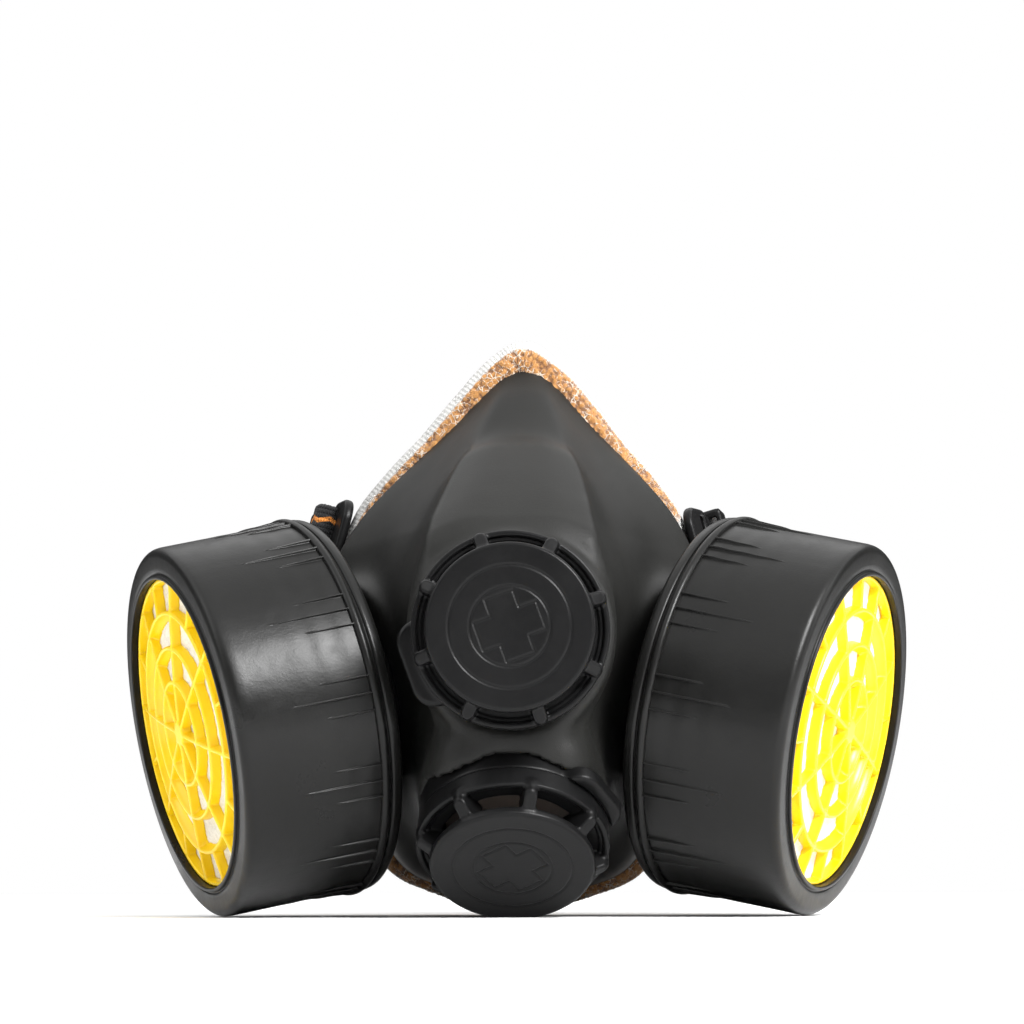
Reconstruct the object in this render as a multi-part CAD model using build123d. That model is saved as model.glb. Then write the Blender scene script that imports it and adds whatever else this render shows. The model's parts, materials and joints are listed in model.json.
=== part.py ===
from build123d import *
from math import asin, cos, radians, sin, sqrt
import os

# Half-mask respirator with two screw-on cartridges, two exhalation valves and a head strap.
# It stands on a table on the front rims of both cartridges and the chin of its face seal.
# X runs to the right as seen from the front, Y runs back towards the wearer, Z runs up.
# "left" and "right" in names are as seen from the front.
# Depths inside an assembly are measured along its own axis: 0 at its front, negative behind.

# ---- Driving dimensions, in mm and degrees -----------------------------------------------
ORIGIN_Y = 62.7             # middle of the object's depth, where the origin goes

DRUM_R = 39.0               # cartridge drum at its front rim
DRUM_REAR_R = 39.8          # and where the back cover's lip meets it
DRUM_L = 28.0               # front rim to lip
RIM_ROUND = 2.0             # rounding of the front rim
OPENING_R = 32.6            # window that shows the guard
WINDOW_LIP = (33.5, 0.6)    # thin raised lip round it: outer radius and height
LIP_R = 40.8                # back cover
BACK_Z = -33.0              # back face of the cartridge
WALL = 2.0
CARTRIDGE_X = 69.3          # centre of the front rim
CARTRIDGE_AZ = 65.4         # its axis turns this far from straight ahead
CARTRIDGE_DROP = 12.7       # and dips this far
FRONT_WALL = 1.5
GRILLE_TOP = 0.9            # middle of the domed guard
GRILLE_DOME_R = 275.5       # radius of its front surface
GRILLE_T = 2.3
GRILLE_RINGS = (10.8, 18.0, 25.3)
GRILLE_HUB_R = 2.4
GRILLE_BAR = 1.6
GRILLE_SPOKE = 1.0
GRILLE_START = 31           # degrees to the first spoke
FELT_BACK = -8.0
INNER_FELT_T = 3.0
STACK_GAP = 0.3             # radial play of the grille and the filter stack in the drum
RIB_GROUPS = 14
RIB_PITCH = 5.0             # degrees between the ribs of one group
RIB_LENGTHS = (9.5, 16.0, 9.5)

NECK_R = 17.45              # male neck of the cartridge
NECK_END = -44.0
NECK_WALL = 2.2
AIR_HOLE_R = 2.6            # holes in the back cover, one in the middle and six round it
AIR_HOLE_RING = 8.5
GASKET_T = 2.0
PORT_BORE_R = 17.5          # female port in the mask
PORT_R = 19.5
PORT_FRONT = -37.0
PORT_BACK = -50.0
PORT_FLANGE_R = 23.0
PORT_FLANGE_T = 2.0
PORT_SHELF_T = 2.0          # ring, hub and arms that the gasket and the inhalation flap sit on
NUT_R = 22.8
NUT_T = 4.0
SIDE_BOSS_R = 25.0
SIDE_WALL = (-45.0, -41.0)  # facepiece wall that the port is clamped to
SIDE_FLAT_R = 44.0          # flat of the facepiece that faces the cartridge

VALVE_FRONT = (0.0, -37.7, 54.7)    # centre of the front cap's flange
VALVE_FRONT_TILT = 0.7              # its axis dips this far
VALVE_CHIN = (0.0, -17.7, 14.5)
VALVE_CHIN_TILT = 51.2
CAP_FLANGE_R = 18.9
CAP_FACE_R = 15.9
CAP_TOP = 5.0
CAP_LUGS = 8
CAP_LUG_W = 2.6
COLLAR_R = 18.9
COLLAR = (-9.0, -3.0)
SPIGOT_R = 17.0
SEAT_BORE_R = 11.5
SEAT_NECK_R = 14.0
BOSS_R = 20.5
BOSS_WALL = (-13.0, -9.0)
SEAT_FLANGE_R = 15.8        # inside the rubber
SEAT_T = 2.0                # its plates and arms
TAB_REACH = 3.2             # finger tab beyond the collar
TAB_T = 3.4

FLAP_T = 0.8                # rubber valve discs
EXHALE_FLAP_R = 13.5
INHALE_FLAP_R = 14.5
STEM_R = 1.5                # the stem that holds a disc in its hub

CLEARANCE = 0.05            # running fits
FACE_WALL = 2.8             # facepiece rubber
BOSS_DEPTH = 20.0           # how far a boss runs into the facepiece

# Outline of the face seal, right half, nose to chin: (x, z)
SEAL_OUTLINE = [(0, 127.4), (9.0, 122.5), (23.3, 106), (37.8, 90), (43.6, 70), (45.4, 55),
                (42.3, 34), (31, 10.8), (17.3, 3.0), (0, 0.2)]
# The wearer's face: an upright oval column that the seal meets
FACE_OVAL = (52.0, 54.0)
FACE_AT_CHIN = 39.0         # y of the face at table height
FACE_LEAN = 4.5             # degrees that it leans forward going up
SEAL_FRONT = 13.0           # seal and rubber rim, in front of the face
RIM_FRONT = 9.0
SEAL_BAND = 9.0             # width of the seal's ring, seen from the front

# Outer surface of the facepiece: right half outline (x, z), nose to chin, at stations along y
FACE_SECTIONS = {
    66: [(0, 123.4), (7.4, 118.8), (21, 103.4), (34.2, 87), (39.4, 69), (41.0, 55), (38.0, 35),
         (27.5, 14.5), (15.5, 7.3), (0, 4.4)],
    24: [(0, 122.4), (7.3, 118.2), (20, 103.5), (32.6, 87), (37.8, 69), (39.0, 55), (36.0, 35),
         (25.8, 14.8), (15.0, 7.7), (0, 5.2)],
    12: [(0, 114.3), (6.8, 110.8), (16.5, 99), (28, 83.5), (33.0, 68), (33.5, 54), (30.0, 36),
         (22, 17.5), (12.5, 9.8), (0, 7.8)],
    -5: [(0, 98.2), (6.5, 95.6), (13, 89), (21, 76.5), (25, 64), (25.2, 52), (23.0, 39),
         (18.5, 25), (10.5, 18.5), (0, 17.0)],
    -18: [(0, 85.4), (6.0, 83.4), (11.5, 78.6), (16.5, 70.6), (19.5, 61), (20, 51), (19, 42),
          (15.5, 34), (9, 29), (0, 27.8)],
    -26: [(0, 77), (5.5, 75.8), (10.5, 72.5), (14.5, 67), (17, 60), (17.5, 52), (16.5, 45.5),
          (13.5, 39.8), (8, 35.8), (0, 34.8)],
}

EAR_SLOT = (44.3, 41.0, 81.0)       # middle of the right strap slot
EAR_LEAN = 14.85                    # degrees that the ear leans in, going up
EAR_TOE = 11.5                      # degrees that it spreads, going back
EAR_T = 2.2
EAR_FRONT = -11.0
EAR_BACK = 5.2
EAR_TOP = 12.4
EAR_BOTTOM = -19.0
SLOT_W = 3.2
SLOT_L = 21.4

WEB_W = 20.0                        # head strap webbing
WEB_T = 1.5
WEB_LAYER = 1.65                    # each layer's distance from the ear's middle plane
SLIDER_AT = 21.0                    # behind the slot
SLIDER_L = 10.0
# Middle line of the free strap, right half, from the slider's end round to the back
STRAP_LINE = [(57.5, 101, 79.5), (53.5, 134, 68), (31, 159, 56)]
STRAP_BACK = (0, 167.5, 51)


# ---- Helpers ------------------------------------------------------------------------------
def disc(radius, low, high):
    """A disc between two depths."""
    return Pos(0, 0, (low + high) / 2) * Cylinder(radius, high - low)


def tube(outer, inner, low, high):
    """A ring between two depths."""
    return disc(outer, low, high) - disc(inner, low, high)


def slab(x_size, y_size, low, high, x=0, y=0):
    """A block between two depths."""
    return Pos(x, y, (low + high) / 2) * Box(x_size, y_size, high - low)


def turned(points):
    """A solid turned about the local axis from (radius, depth) points."""
    outline = Plane.XZ * make_face(Polyline(*points, close=True))
    return revolve(outline, Axis.Z)


def around(piece, count, start=0):
    """Copies of a piece round the local axis."""
    return [Rot(0, 0, start + 360 * i / count) * piece for i in range(count)]


def mirrored(half):
    """A closed outline from its right half."""
    return half + [(-x, z) for x, z in reversed(half[1:-1])]


def closed_face(points, y):
    """A smooth face across the mask at one station."""
    line = Spline([(x, y, z) for x, z in points], periodic=True)
    return Face(Wire([line.edge()]))


def moved_in(points, distance):
    """The outline's points moved towards its inside."""
    inner = []
    for i, (x, z) in enumerate(points):
        x0, z0 = points[i - 1]
        x1, z1 = points[(i + 1) % len(points)]
        length = sqrt((x1 - x0) ** 2 + (z1 - z0) ** 2)
        inner.append((x + (z1 - z0) / length * distance, z - (x1 - x0) / length * distance))
    return inner


def face_column(grown):
    """The wearer's face, grown forward, as an upright oval column."""
    width, depth = FACE_OVAL[0] + grown, FACE_OVAL[1] + grown
    column = extrude(Ellipse(width, depth), 220, both=True)
    return Pos(0, FACE_AT_CHIN + FACE_OVAL[1], 0) * Rot(FACE_LEAN, 0, 0) * column


# ---- Places -------------------------------------------------------------------------------
def cartridge_height():
    """Height of the front rim's centre, so that its rounded edge just touches the table."""
    drop = radians(CARTRIDGE_DROP)
    return (DRUM_R - RIM_ROUND) * cos(drop) - RIM_ROUND * sin(drop) + RIM_ROUND


def cartridge_axis(side):
    """Outward direction of a cartridge: side is 1 on the right and -1 on the left."""
    turn, drop = radians(CARTRIDGE_AZ), radians(CARTRIDGE_DROP)
    return (side * sin(turn) * cos(drop), -cos(turn) * cos(drop), -sin(drop))


def cartridge_place(side):
    turn = radians(CARTRIDGE_AZ)
    across = (cos(turn), side * sin(turn), 0)
    centre = (side * CARTRIDGE_X, 0, cartridge_height())
    return Plane(origin=centre, x_dir=across, z_dir=cartridge_axis(side)).location


def valve_place(centre, tilt):
    outward = (0, -cos(radians(tilt)), -sin(radians(tilt)))
    return Plane(origin=centre, x_dir=(1, 0, 0), z_dir=outward).location


def ear_place():
    """The right strap ear: local x outward, y back along the ear, z up its slot."""
    lean, toe = radians(EAR_LEAN), radians(EAR_TOE)
    outward = (cos(lean) * cos(toe), -sin(toe), sin(lean) * cos(toe))
    up = (-sin(lean), 0, cos(lean))
    return Plane(origin=EAR_SLOT, x_dir=outward, z_dir=up).location


# ---- Cartridge, in its own frame ----------------------------------------------------------
def cartridge_shell():
    under_lip = BACK_Z + WALL + 0.5
    lip_r, lip_top = WINDOW_LIP
    drum = turned([
        (OPENING_R, lip_top), (lip_r, lip_top), (lip_r, 0), (DRUM_R, 0), (DRUM_REAR_R, -DRUM_L),
        (DRUM_REAR_R, under_lip), (DRUM_REAR_R - WALL, under_lip), (DRUM_R - WALL, -FRONT_WALL),
        (OPENING_R, -FRONT_WALL),
    ])
    front = drum.edges().filter_by(GeomType.CIRCLE).filter_by_position(Axis.Z, -0.1, 0.1)
    drum = fillet(front.sort_by(SortBy.RADIUS)[-1], RIM_ROUND)
    ribs = []
    for group in range(RIB_GROUPS):
        for i, length in enumerate(RIB_LENGTHS):
            angle = 360 * group / RIB_GROUPS + (i - 1) * RIB_PITCH
            ribs.append(Rot(0, 0, angle) * drum_rib(length))
    return drum + ribs


def drum_rib(length):
    """A wedge on the drum that starts at the lip and runs out towards the front."""
    height, width, root = 0.8, 0.9, 0.6
    wedge = Polyline(
        (DRUM_REAR_R - root, -DRUM_L), (DRUM_REAR_R + height, -DRUM_L),
        (DRUM_REAR_R - root, -DRUM_L + length), close=True,
    )
    return extrude(Plane.XZ * make_face(wedge), width / 2, both=True)


def cartridge_base():
    """Back cover with the lip, the male neck and the holes that let the air through."""
    cover = turned([
        (0, BACK_Z), (LIP_R - 3, BACK_Z), (LIP_R - 0.8, BACK_Z + 1.2), (LIP_R, BACK_Z + 3),
        (LIP_R, -DRUM_L - 0.6), (LIP_R - 0.6, -DRUM_L), (DRUM_REAR_R, -DRUM_L),
        (DRUM_REAR_R, BACK_Z + WALL), (0, BACK_Z + WALL),
    ])
    neck = tube(NECK_R, NECK_R - NECK_WALL, NECK_END, BACK_Z)
    hole = disc(AIR_HOLE_R, BACK_Z - 1, BACK_Z + WALL + 1)
    holes = [hole] + around(Pos(AIR_HOLE_RING, 0, 0) * hole, 6)
    return cover + neck - holes


def dome(depth):
    """The ball whose surface is the guard's front, or lies a depth behind it."""
    return Pos(0, 0, GRILLE_TOP - GRILLE_DOME_R) * Sphere(GRILLE_DOME_R - depth)


def outer_grille():
    """Yellow guard: a domed lattice of a hub, rings and spokes, with more spokes in the outer zone."""
    back = -5.0
    flange = tube(DRUM_R - WALL - STACK_GAP, OPENING_R - 1, back, -FRONT_WALL)
    lattice = tube(OPENING_R - CLEARANCE, OPENING_R - 1, back, GRILLE_TOP)
    lattice += disc(GRILLE_HUB_R, back, GRILLE_TOP)
    for radius in GRILLE_RINGS:
        lattice += tube(radius + GRILLE_BAR / 2, radius - GRILLE_BAR / 2, back, GRILLE_TOP)
    radii = [GRILLE_HUB_R - 1, *GRILLE_RINGS, OPENING_R - 0.5]
    for inner, outer, count in zip(radii, radii[1:], (8, 8, 8, 16)):
        spoke = slab(outer - inner, GRILLE_SPOKE, back, GRILLE_TOP, x=(inner + outer) / 2)
        lattice += around(spoke, count, GRILLE_START)
    return (lattice & dome(0)) + flange - dome(GRILLE_T)


def filter_layers():
    """The stack between the guard and the back cover."""
    inner = BACK_Z + WALL
    radius = DRUM_R - WALL - STACK_GAP
    return {
        "prefilter_felt": disc(radius, FELT_BACK, 0) & dome(GRILLE_T),
        "carbon_bed": disc(radius, inner + INNER_FELT_T, FELT_BACK),
        "inner_felt": disc(radius, inner, inner + INNER_FELT_T),
    }


# ---- Port in the mask's side, in the cartridge's frame -------------------------------------
def gasket():
    return tube(PORT_BORE_R - 2 * CLEARANCE, NECK_R - 4, NECK_END - GASKET_T, NECK_END - CLEARANCE)


def port():
    """Female port: barrel, outer flange, and a shelf with three arms and the flap's post."""
    shelf = NECK_END - GASKET_T
    under = shelf - PORT_SHELF_T
    post_end = under - 4.5
    body = tube(PORT_R, PORT_BORE_R, PORT_BACK, PORT_FRONT)
    body += tube(PORT_FLANGE_R, PORT_BORE_R, PORT_FRONT - PORT_FLANGE_T, PORT_FRONT)
    body += tube(PORT_BORE_R + 0.5, 12, under, shelf) + disc(3.5, under, shelf)
    body += around(slab(11, 2.2, under, shelf, x=7.5), 3, start=90)
    return body + disc(STEM_R, post_end, under) + disc(STEM_R + 1, post_end, post_end + 1)


def port_nut():
    """Ring nut with six notches for a spanner."""
    back = SIDE_WALL[0] - NUT_T
    notch = Pos(NUT_R, 0, 0) * disc(2.0, back - 1, SIDE_WALL[0] + 1)
    return tube(NUT_R, PORT_R, back, SIDE_WALL[0]) - around(notch, 6)


def inhale_flap():
    front = NECK_END - GASKET_T - PORT_SHELF_T
    return tube(INHALE_FLAP_R, STEM_R + CLEARANCE, front - FLAP_T, front)


def strap_bracket():
    """Ring behind the port's flange with an ear that the strap loops through, right side."""
    front, back = PORT_FRONT - PORT_FLANGE_T, SIDE_WALL[1]
    ring = tube(PORT_FLANGE_R + 0.5, PORT_R, back, front)
    tongue = Rot(0, 0, 55) * slab(11, 17, back, front, x=27)
    side = cartridge_place(1)
    width = EAR_BACK - EAR_FRONT
    plate = Pos(0, (EAR_BACK + EAR_FRONT) / 2, (EAR_TOP + EAR_BOTTOM) / 2)
    plate = plate * Box(EAR_T, width, EAR_TOP - EAR_BOTTOM)
    corners = plate.edges().filter_by(Axis.X).sort_by(Axis.Z)[-2:]
    plate = fillet(corners, 5.0) - Box(EAR_T * 2, SLOT_W, SLOT_L)
    ear = ear_place() * plate
    ear -= side * disc(60, front, front + 12)
    ear -= side * disc(SIDE_BOSS_R + CLEARANCE, back - 20, back)
    return side * (ring + tongue) + ear


# ---- Exhalation valves, in their own frame ---------------------------------------------------
def valve_seat(tab_at):
    """Moulded seat: collar, spigot for the cap, spider, neck through the rubber, inner flange."""
    body = tube(COLLAR_R, 15, *COLLAR) + tube(SPIGOT_R, 15, COLLAR[1], -0.5)
    plate = COLLAR[0] + SEAT_T
    body += tube(COLLAR_R, SEAT_BORE_R, COLLAR[0], plate)
    body += tube(SEAT_BORE_R + 1.3, SEAT_BORE_R, plate, plate + 1)
    body += tube(SEAT_NECK_R, SEAT_BORE_R, BOSS_WALL[0] - SEAT_T, COLLAR[0])
    body += tube(SEAT_FLANGE_R, SEAT_BORE_R, BOSS_WALL[0] - SEAT_T, BOSS_WALL[0])
    body += tube(3.2, STEM_R + CLEARANCE, COLLAR[0], plate)
    body += around(slab(9.6, 2.0, COLLAR[0], plate, x=7.6), 3, start=30)
    tab = extrude(SlotCenterToCenter(11, 2 * TAB_REACH + 3), TAB_T)
    tab = Rot(0, 0, tab_at) * Pos(COLLAR_R - 1.5, 0, COLLAR[1] - TAB_T - 1) * Rot(0, 0, 90) * tab
    return body + (tab - disc(COLLAR_R - 1, COLLAR[0], 0))


def exhale_flap():
    """Rubber disc with a stem through the seat's hub and a bulb that keeps it there."""
    face = COLLAR[0] + SEAT_T + 1
    stem_end = COLLAR[0] - 3.2
    body = disc(EXHALE_FLAP_R, face, face + FLAP_T) + disc(STEM_R, stem_end, face)
    return body + disc(STEM_R + 0.8, stem_end, stem_end + 1.2)


def valve_cap(lugs_at):
    """Twist-on cover: skirt, flange, face disc and the lugs that bridge the vents."""
    cap = tube(CAP_FLANGE_R, SPIGOT_R + CLEARANCE, COLLAR[1], 0)
    cap += tube(CAP_FLANGE_R, 14.5, -0.4, 0.8)
    face = disc(CAP_FACE_R, 3.0, CAP_TOP)
    cap += chamfer(face.edges().group_by(Axis.Z)[-1], 0.8)
    lug = slab(5.2, CAP_LUG_W, 0, CAP_TOP - 0.6, x=CAP_FACE_R - 0.4)
    return cap + around(lug, CAP_LUGS, start=lugs_at)


# ---- Facepiece and seal ------------------------------------------------------------------------
def facepiece():
    """Moulded rubber half mask with bosses for the ports and valves."""
    stations = sorted(FACE_SECTIONS)
    outlines = [mirrored(FACE_SECTIONS[y]) for y in stations]
    body = loft([closed_face(points, y) for y, points in zip(stations, outlines)])
    sides = [cartridge_place(side) for side in (-1, 1)]
    front = valve_place(VALVE_FRONT, VALVE_FRONT_TILT)
    chin = valve_place(VALVE_CHIN, VALVE_CHIN_TILT)
    for place in sides:
        body += place * disc(SIDE_BOSS_R, SIDE_WALL[1] - BOSS_DEPTH, SIDE_WALL[1])
    body += front * disc(BOSS_R, BOSS_WALL[1] - 8, BOSS_WALL[1])
    body += chin * disc(BOSS_R, BOSS_WALL[1] - 14, BOSS_WALL[1])
    hollow = loft([
        closed_face(moved_in(points, FACE_WALL), y + (FACE_WALL if y < 60 else 2 * FACE_WALL))
        for y, points in zip(stations, outlines)
    ])
    for place in sides:
        body -= place * disc(SIDE_FLAT_R, SIDE_WALL[1], 0)
        hollow -= place * disc(SIDE_FLAT_R + 3, SIDE_WALL[0], 0)
    body -= hollow
    for place in sides:
        body -= place * disc(NUT_R + 0.4, SIDE_WALL[0] - BOSS_DEPTH, SIDE_WALL[0])
        body -= place * disc(PORT_R, SIDE_WALL[0] - 1, SIDE_WALL[1] + 1)
    for place in (front, chin):
        body -= place * disc(17, BOSS_WALL[0] - 9, BOSS_WALL[0])
        body -= place * disc(SEAT_NECK_R, BOSS_WALL[0] - 1, BOSS_WALL[1] + 1)
    return body - face_column(RIM_FRONT)


def face_seal(rubber):
    """Soft ring round the facepiece's rim that meets the wearer's face."""
    outline = mirrored(SEAL_OUTLINE)
    outer = closed_face(outline, 0)
    inner = closed_face(moved_in(outline, SEAL_BAND), 0)
    band = extrude(outer, 90, dir=(0, 1, 0)) - extrude(inner, 90, dir=(0, 1, 0))
    band = (band & face_column(SEAL_FRONT)) - face_column(0)
    for side in (-1, 1):
        band -= cartridge_place(side) * disc(SIDE_BOSS_R, SIDE_WALL[0] - 12, PORT_FRONT)
    return band - rubber


# ---- Head strap, in the right ear's frame and in the mask's --------------------------------------
def strap_loop():
    """The webbing's end: in through the slider, out round the ear's slot and back again."""
    layer, behind = WEB_LAYER, SLIDER_AT + 2 * SLIDER_L
    route = FilletPolyline(
        (-layer, behind - 6), (-layer, 9), (-2.3, 0), (4.6, 0), (4.4, 6), (layer, 13),
        (layer, behind), radius=[6, 1.3, 2.0, 3, 8],
    )
    return extrude(trace(route, WEB_T), WEB_W / 2, both=True)


def strap_section(position, ahead, up):
    ahead, up = Vector(*ahead).normalized(), Vector(*up)
    across = up.cross(ahead).normalized()
    return Plane(origin=position, x_dir=across, z_dir=ahead) * Rectangle(WEB_T, WEB_W)


def head_strap():
    """Both ends and the free strap between them, which turns upright towards the back."""
    end = ear_place() * strap_loop()
    ear = Plane(ear_place())
    start = ear.from_local_coords(Vector(WEB_LAYER, SLIDER_AT + 2 * SLIDER_L, 0))
    back = ear.y_dir
    right = [tuple(start)] + STRAP_LINE
    left = [(-x, y, z) for x, y, z in reversed(right)]
    tangents = [tuple(back), (back.X, -back.Y, -back.Z)]
    line = Spline(*right, STRAP_BACK, *left, tangents=tangents)
    sections = []
    steps = 28
    for i in range(steps + 1):
        place = line.position_at(i / steps)
        lean = -sin(radians(EAR_LEAN)) * place.X / start.X
        up = (lean, 0, cos(asin(lean)))
        sections.append(strap_section(place, line.tangent_at(i / steps), up))
    free = loft(sections, ruled=True)
    print("free strap length", round(line.length, 1), "volume over section times length",
          round(free.volume / (WEB_T * WEB_W * line.length), 4))
    return end + mirror(end, about=Plane.YZ) + free


def strap_slider():
    """Keeper that holds the two layers of webbing against a middle bar."""
    low, high = WEB_LAYER - WEB_T / 2 - CLEARANCE, WEB_LAYER + WEB_T / 2 + CLEARANCE
    body = Box(2 * high + 2.4, SLIDER_L, WEB_W + 4.8)
    body = fillet(body.edges().filter_by(Axis.Y), 1.0)
    for side in (-1, 1):
        window = Box(high - low, SLIDER_L * 2, WEB_W + 2 * CLEARANCE)
        body -= Pos(side * (low + high) / 2, 0, 0) * window
    return ear_place() * Pos(0, SLIDER_AT, 0) * body


# ---- Assembly -----------------------------------------------------------------------------------
def parts():
    made = {"facepiece": facepiece()}
    made["face_seal"] = face_seal(made["facepiece"])
    made["head_strap"] = head_strap()
    drum = {"cartridge_shell": cartridge_shell(), "cartridge_base": cartridge_base(),
            "outer_grille": outer_grille(), **filter_layers(), "cartridge_gasket": gasket(),
            "port": port(), "port_nut": port_nut(), "inhale_flap": inhale_flap()}
    for name, side in (("left", -1), ("right", 1)):
        for part, shape in drum.items():
            made[f"{name}_{part}"] = cartridge_place(side) * shape
        for part, shape in (("strap_bracket", strap_bracket()), ("strap_slider", strap_slider())):
            made[f"{name}_{part}"] = shape if side == 1 else mirror(shape, about=Plane.YZ)
    valves = (
        ("front", VALVE_FRONT, VALVE_FRONT_TILT, 200, 18.5),
        ("chin", VALVE_CHIN, VALVE_CHIN_TILT, 42, 33),
    )
    for name, centre, tilt, tab_at, lugs_at in valves:
        place = valve_place(centre, tilt)
        made[f"{name}_valve_seat"] = place * valve_seat(tab_at)
        made[f"{name}_exhale_flap"] = place * exhale_flap()
        made[f"{name}_valve_cap"] = place * valve_cap(lugs_at)
    return made


os.makedirs("parts", exist_ok=True)
for node, shape in parts().items():
    solids = (Pos(0, -ORIGIN_Y, 0) * shape).solids()
    export_step(solids[0] if len(solids) == 1 else Compound(solids), f"parts/{node}.step")
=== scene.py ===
import json
from math import atan2, ceil, cos, pi, radians, sin, tau

import bmesh
import bpy
import numpy as np
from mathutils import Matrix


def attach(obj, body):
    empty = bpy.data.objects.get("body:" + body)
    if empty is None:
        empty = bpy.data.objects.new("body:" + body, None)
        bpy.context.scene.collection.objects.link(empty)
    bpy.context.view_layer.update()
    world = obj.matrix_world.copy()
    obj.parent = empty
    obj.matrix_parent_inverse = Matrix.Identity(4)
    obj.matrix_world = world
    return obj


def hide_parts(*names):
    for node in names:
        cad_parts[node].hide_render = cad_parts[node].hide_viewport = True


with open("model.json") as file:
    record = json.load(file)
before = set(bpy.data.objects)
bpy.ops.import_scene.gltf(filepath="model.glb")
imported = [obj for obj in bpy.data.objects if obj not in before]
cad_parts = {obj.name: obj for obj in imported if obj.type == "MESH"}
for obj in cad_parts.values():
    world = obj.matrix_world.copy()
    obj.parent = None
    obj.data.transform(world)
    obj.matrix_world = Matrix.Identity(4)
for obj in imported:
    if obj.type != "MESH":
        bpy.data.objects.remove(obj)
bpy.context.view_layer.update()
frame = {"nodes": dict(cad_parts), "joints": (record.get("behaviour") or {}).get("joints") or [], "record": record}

import openvdb
from mathutils import Matrix, Vector

# A half-mask respirator. Shapes are worked out in millimetres, in the CAD's own frames: a cartridge
# or a valve has depth 0 at its front and negative depths behind, and a strap ear has x outward,
# y back and z up its slot. A Field is a function of (x, y, z) arrays that gives the distance to a
# surface, negative inside.

JOINTS = {joint["name"]: joint for joint in frame["joints"]}
MOUNTS = {mount["name"]: mount for mount in frame["record"]["mounts"]}
MM = 0.001
SIDES = ("left", "right")

# ---- Driving dimensions, in mm ----
DRUM_R, DRUM_REAR_R, DRUM_L, OPENING_R = 39.0, 39.8, 28.0, 32.6
LIP_R, BACK_Z, WALL, FRONT_WALL = 40.8, -33.0, 2.0, 1.5
WINDOW_LIP = (33.5, 0.6)
NECK_R, NECK_END, NECK_WALL = 17.45, -44.0, 2.2
GRILLE_TOP, GRILLE_DOME_R, GRILLE_T, FELT_BACK = 0.9, 275.5, 2.3, -8.0
GRILLE_RINGS, GRILLE_HUB_R, GRILLE_START = (10.8, 18.0, 25.3), 2.4, radians(31)
PORT_R, PORT_FRONT = 19.5, -37.0
SIDE_WALL = (-45.0, -41.0)
SIDE_BOSS_R, SIDE_FLAT_R, NUT_R = 25.0, 44.0, 22.8
CAP_FLANGE_R, CAP_FACE_R, CAP_TOP = 19.2, 16.3, 6.6
COLLAR_R, COLLAR, SPIGOT_R, SEAT_BORE_R, SEAT_NECK_R = 18.9, (-9.0, -3.0), 17.0, 11.5, 14.0
BOSS_R, BOSS_WALL = 20.5, (-13.0, -9.0)
FACE_WALL, RIM_FRONT, SEAL_FRONT, SEAL_BAND = 2.8, 9.0, 13.0, 9.0
FACE_OVAL, FACE_AT_CHIN, FACE_LEAN = (52.0, 54.0), 39.0, radians(4.5)
EAR_T, EAR_Y, EAR_Z, SLOT_W, SLOT_L = 2.2, (-11.0, 5.2), (-19.0, 12.4), 3.2, 21.4
WEB_W, WEB_T, WEB_LAYER, SLIDER_AT, SLIDER_L = 20.0, 1.5, 1.65, 21.0, 10.0
STRAP_LINE = [(57.5, 101, 79.5), (53.5, 134, 68), (31, 159, 56)]
STRAP_BACK = (0, 167.5, 51)
# the nose end leans to the right: how far, from what height, over what height
LEAN, LEAN_FROM, LEAN_OVER = 2.45, 80.0, 42.0

# Outer surface of the facepiece: right half outline (x, z), nose to chin, at stations along y.
# The third point of each is the nose ridge.
FACE_SECTIONS = {
    66: [(0, 124.3), (4.2, 122.6), (9.8, 117.0), (21, 103.6), (36.0, 87.1), (42.2, 72.5), (41.6, 55),
         (38.0, 35), (27.8, 12.7), (15.5, 5.7), (0, 3.2)],
    24: [(0, 123.3), (4.2, 121.7), (9.6, 116.3), (20, 103.6), (34.8, 87.1), (41.0, 72.5), (39.8, 55),
         (36.0, 35), (26.3, 12.9), (15.0, 6.0), (0, 3.9)],
    12: [(0, 113.6), (3.2, 113.3), (6.2, 111.6), (15.5, 99.8), (28, 83.5), (33.0, 68), (33.5, 54),
         (30.0, 36), (22, 17.5), (12.5, 9.8), (0, 7.8)],
    3: [(0, 102.6), (4.8, 102.2), (9.4, 100.2), (16.2, 91.8), (25, 78.8), (29, 66), (29.4, 53),
        (26.6, 37.5), (20.2, 21.3), (11.4, 14.0), (0, 12.2)],
    -5: [(0, 97.2), (6.5, 96.9), (12.2, 94.4), (17.2, 84.8), (22.3, 74), (25, 64), (25.2, 52),
         (23.0, 39), (18.5, 25), (10.5, 18.5), (0, 17.0)],
    -18: [(0, 85.6), (8.5, 85.3), (15.6, 82.2), (18.6, 74.5), (20.6, 67), (21.2, 59.5), (20.6, 51),
          (19, 42), (15.5, 34), (9, 29), (0, 27.8)],
    -26: [(0, 77.4), (9.5, 77.1), (17.0, 74.2), (18.6, 68.5), (19.4, 63), (19.5, 58), (18.6, 52),
          (16.8, 45.5), (13.5, 39.8), (8, 35.8), (0, 34.8)],
}
SEAL_OUTLINE = [(0, 126.1), (8.9, 121.6), (23.0, 105.8), (37.6, 89.8), (43.6, 70), (45.4, 55),
                (42.3, 34), (30.7, 11.8), (17.0, 4.1), (0, 0.9)]


# ---- Local frames ----
def local_frame(origin, x, z):
    """Matrix from local millimetres to the scene, from an origin in metres and two directions."""
    turned = Matrix((x, z.cross(x), z)).transposed().to_4x4()
    turned.translation = origin
    return turned @ Matrix.Scale(MM, 4)


def hinge_place(name):
    """Frame of a part that turns: z along the joint's axis, x level."""
    axis = Vector(JOINTS[name]["axis"]).normalized()
    level = Vector((-axis.y, axis.x, 0)).normalized()
    return local_frame(Vector(JOINTS[name]["pos_m"]), level, axis)


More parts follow.
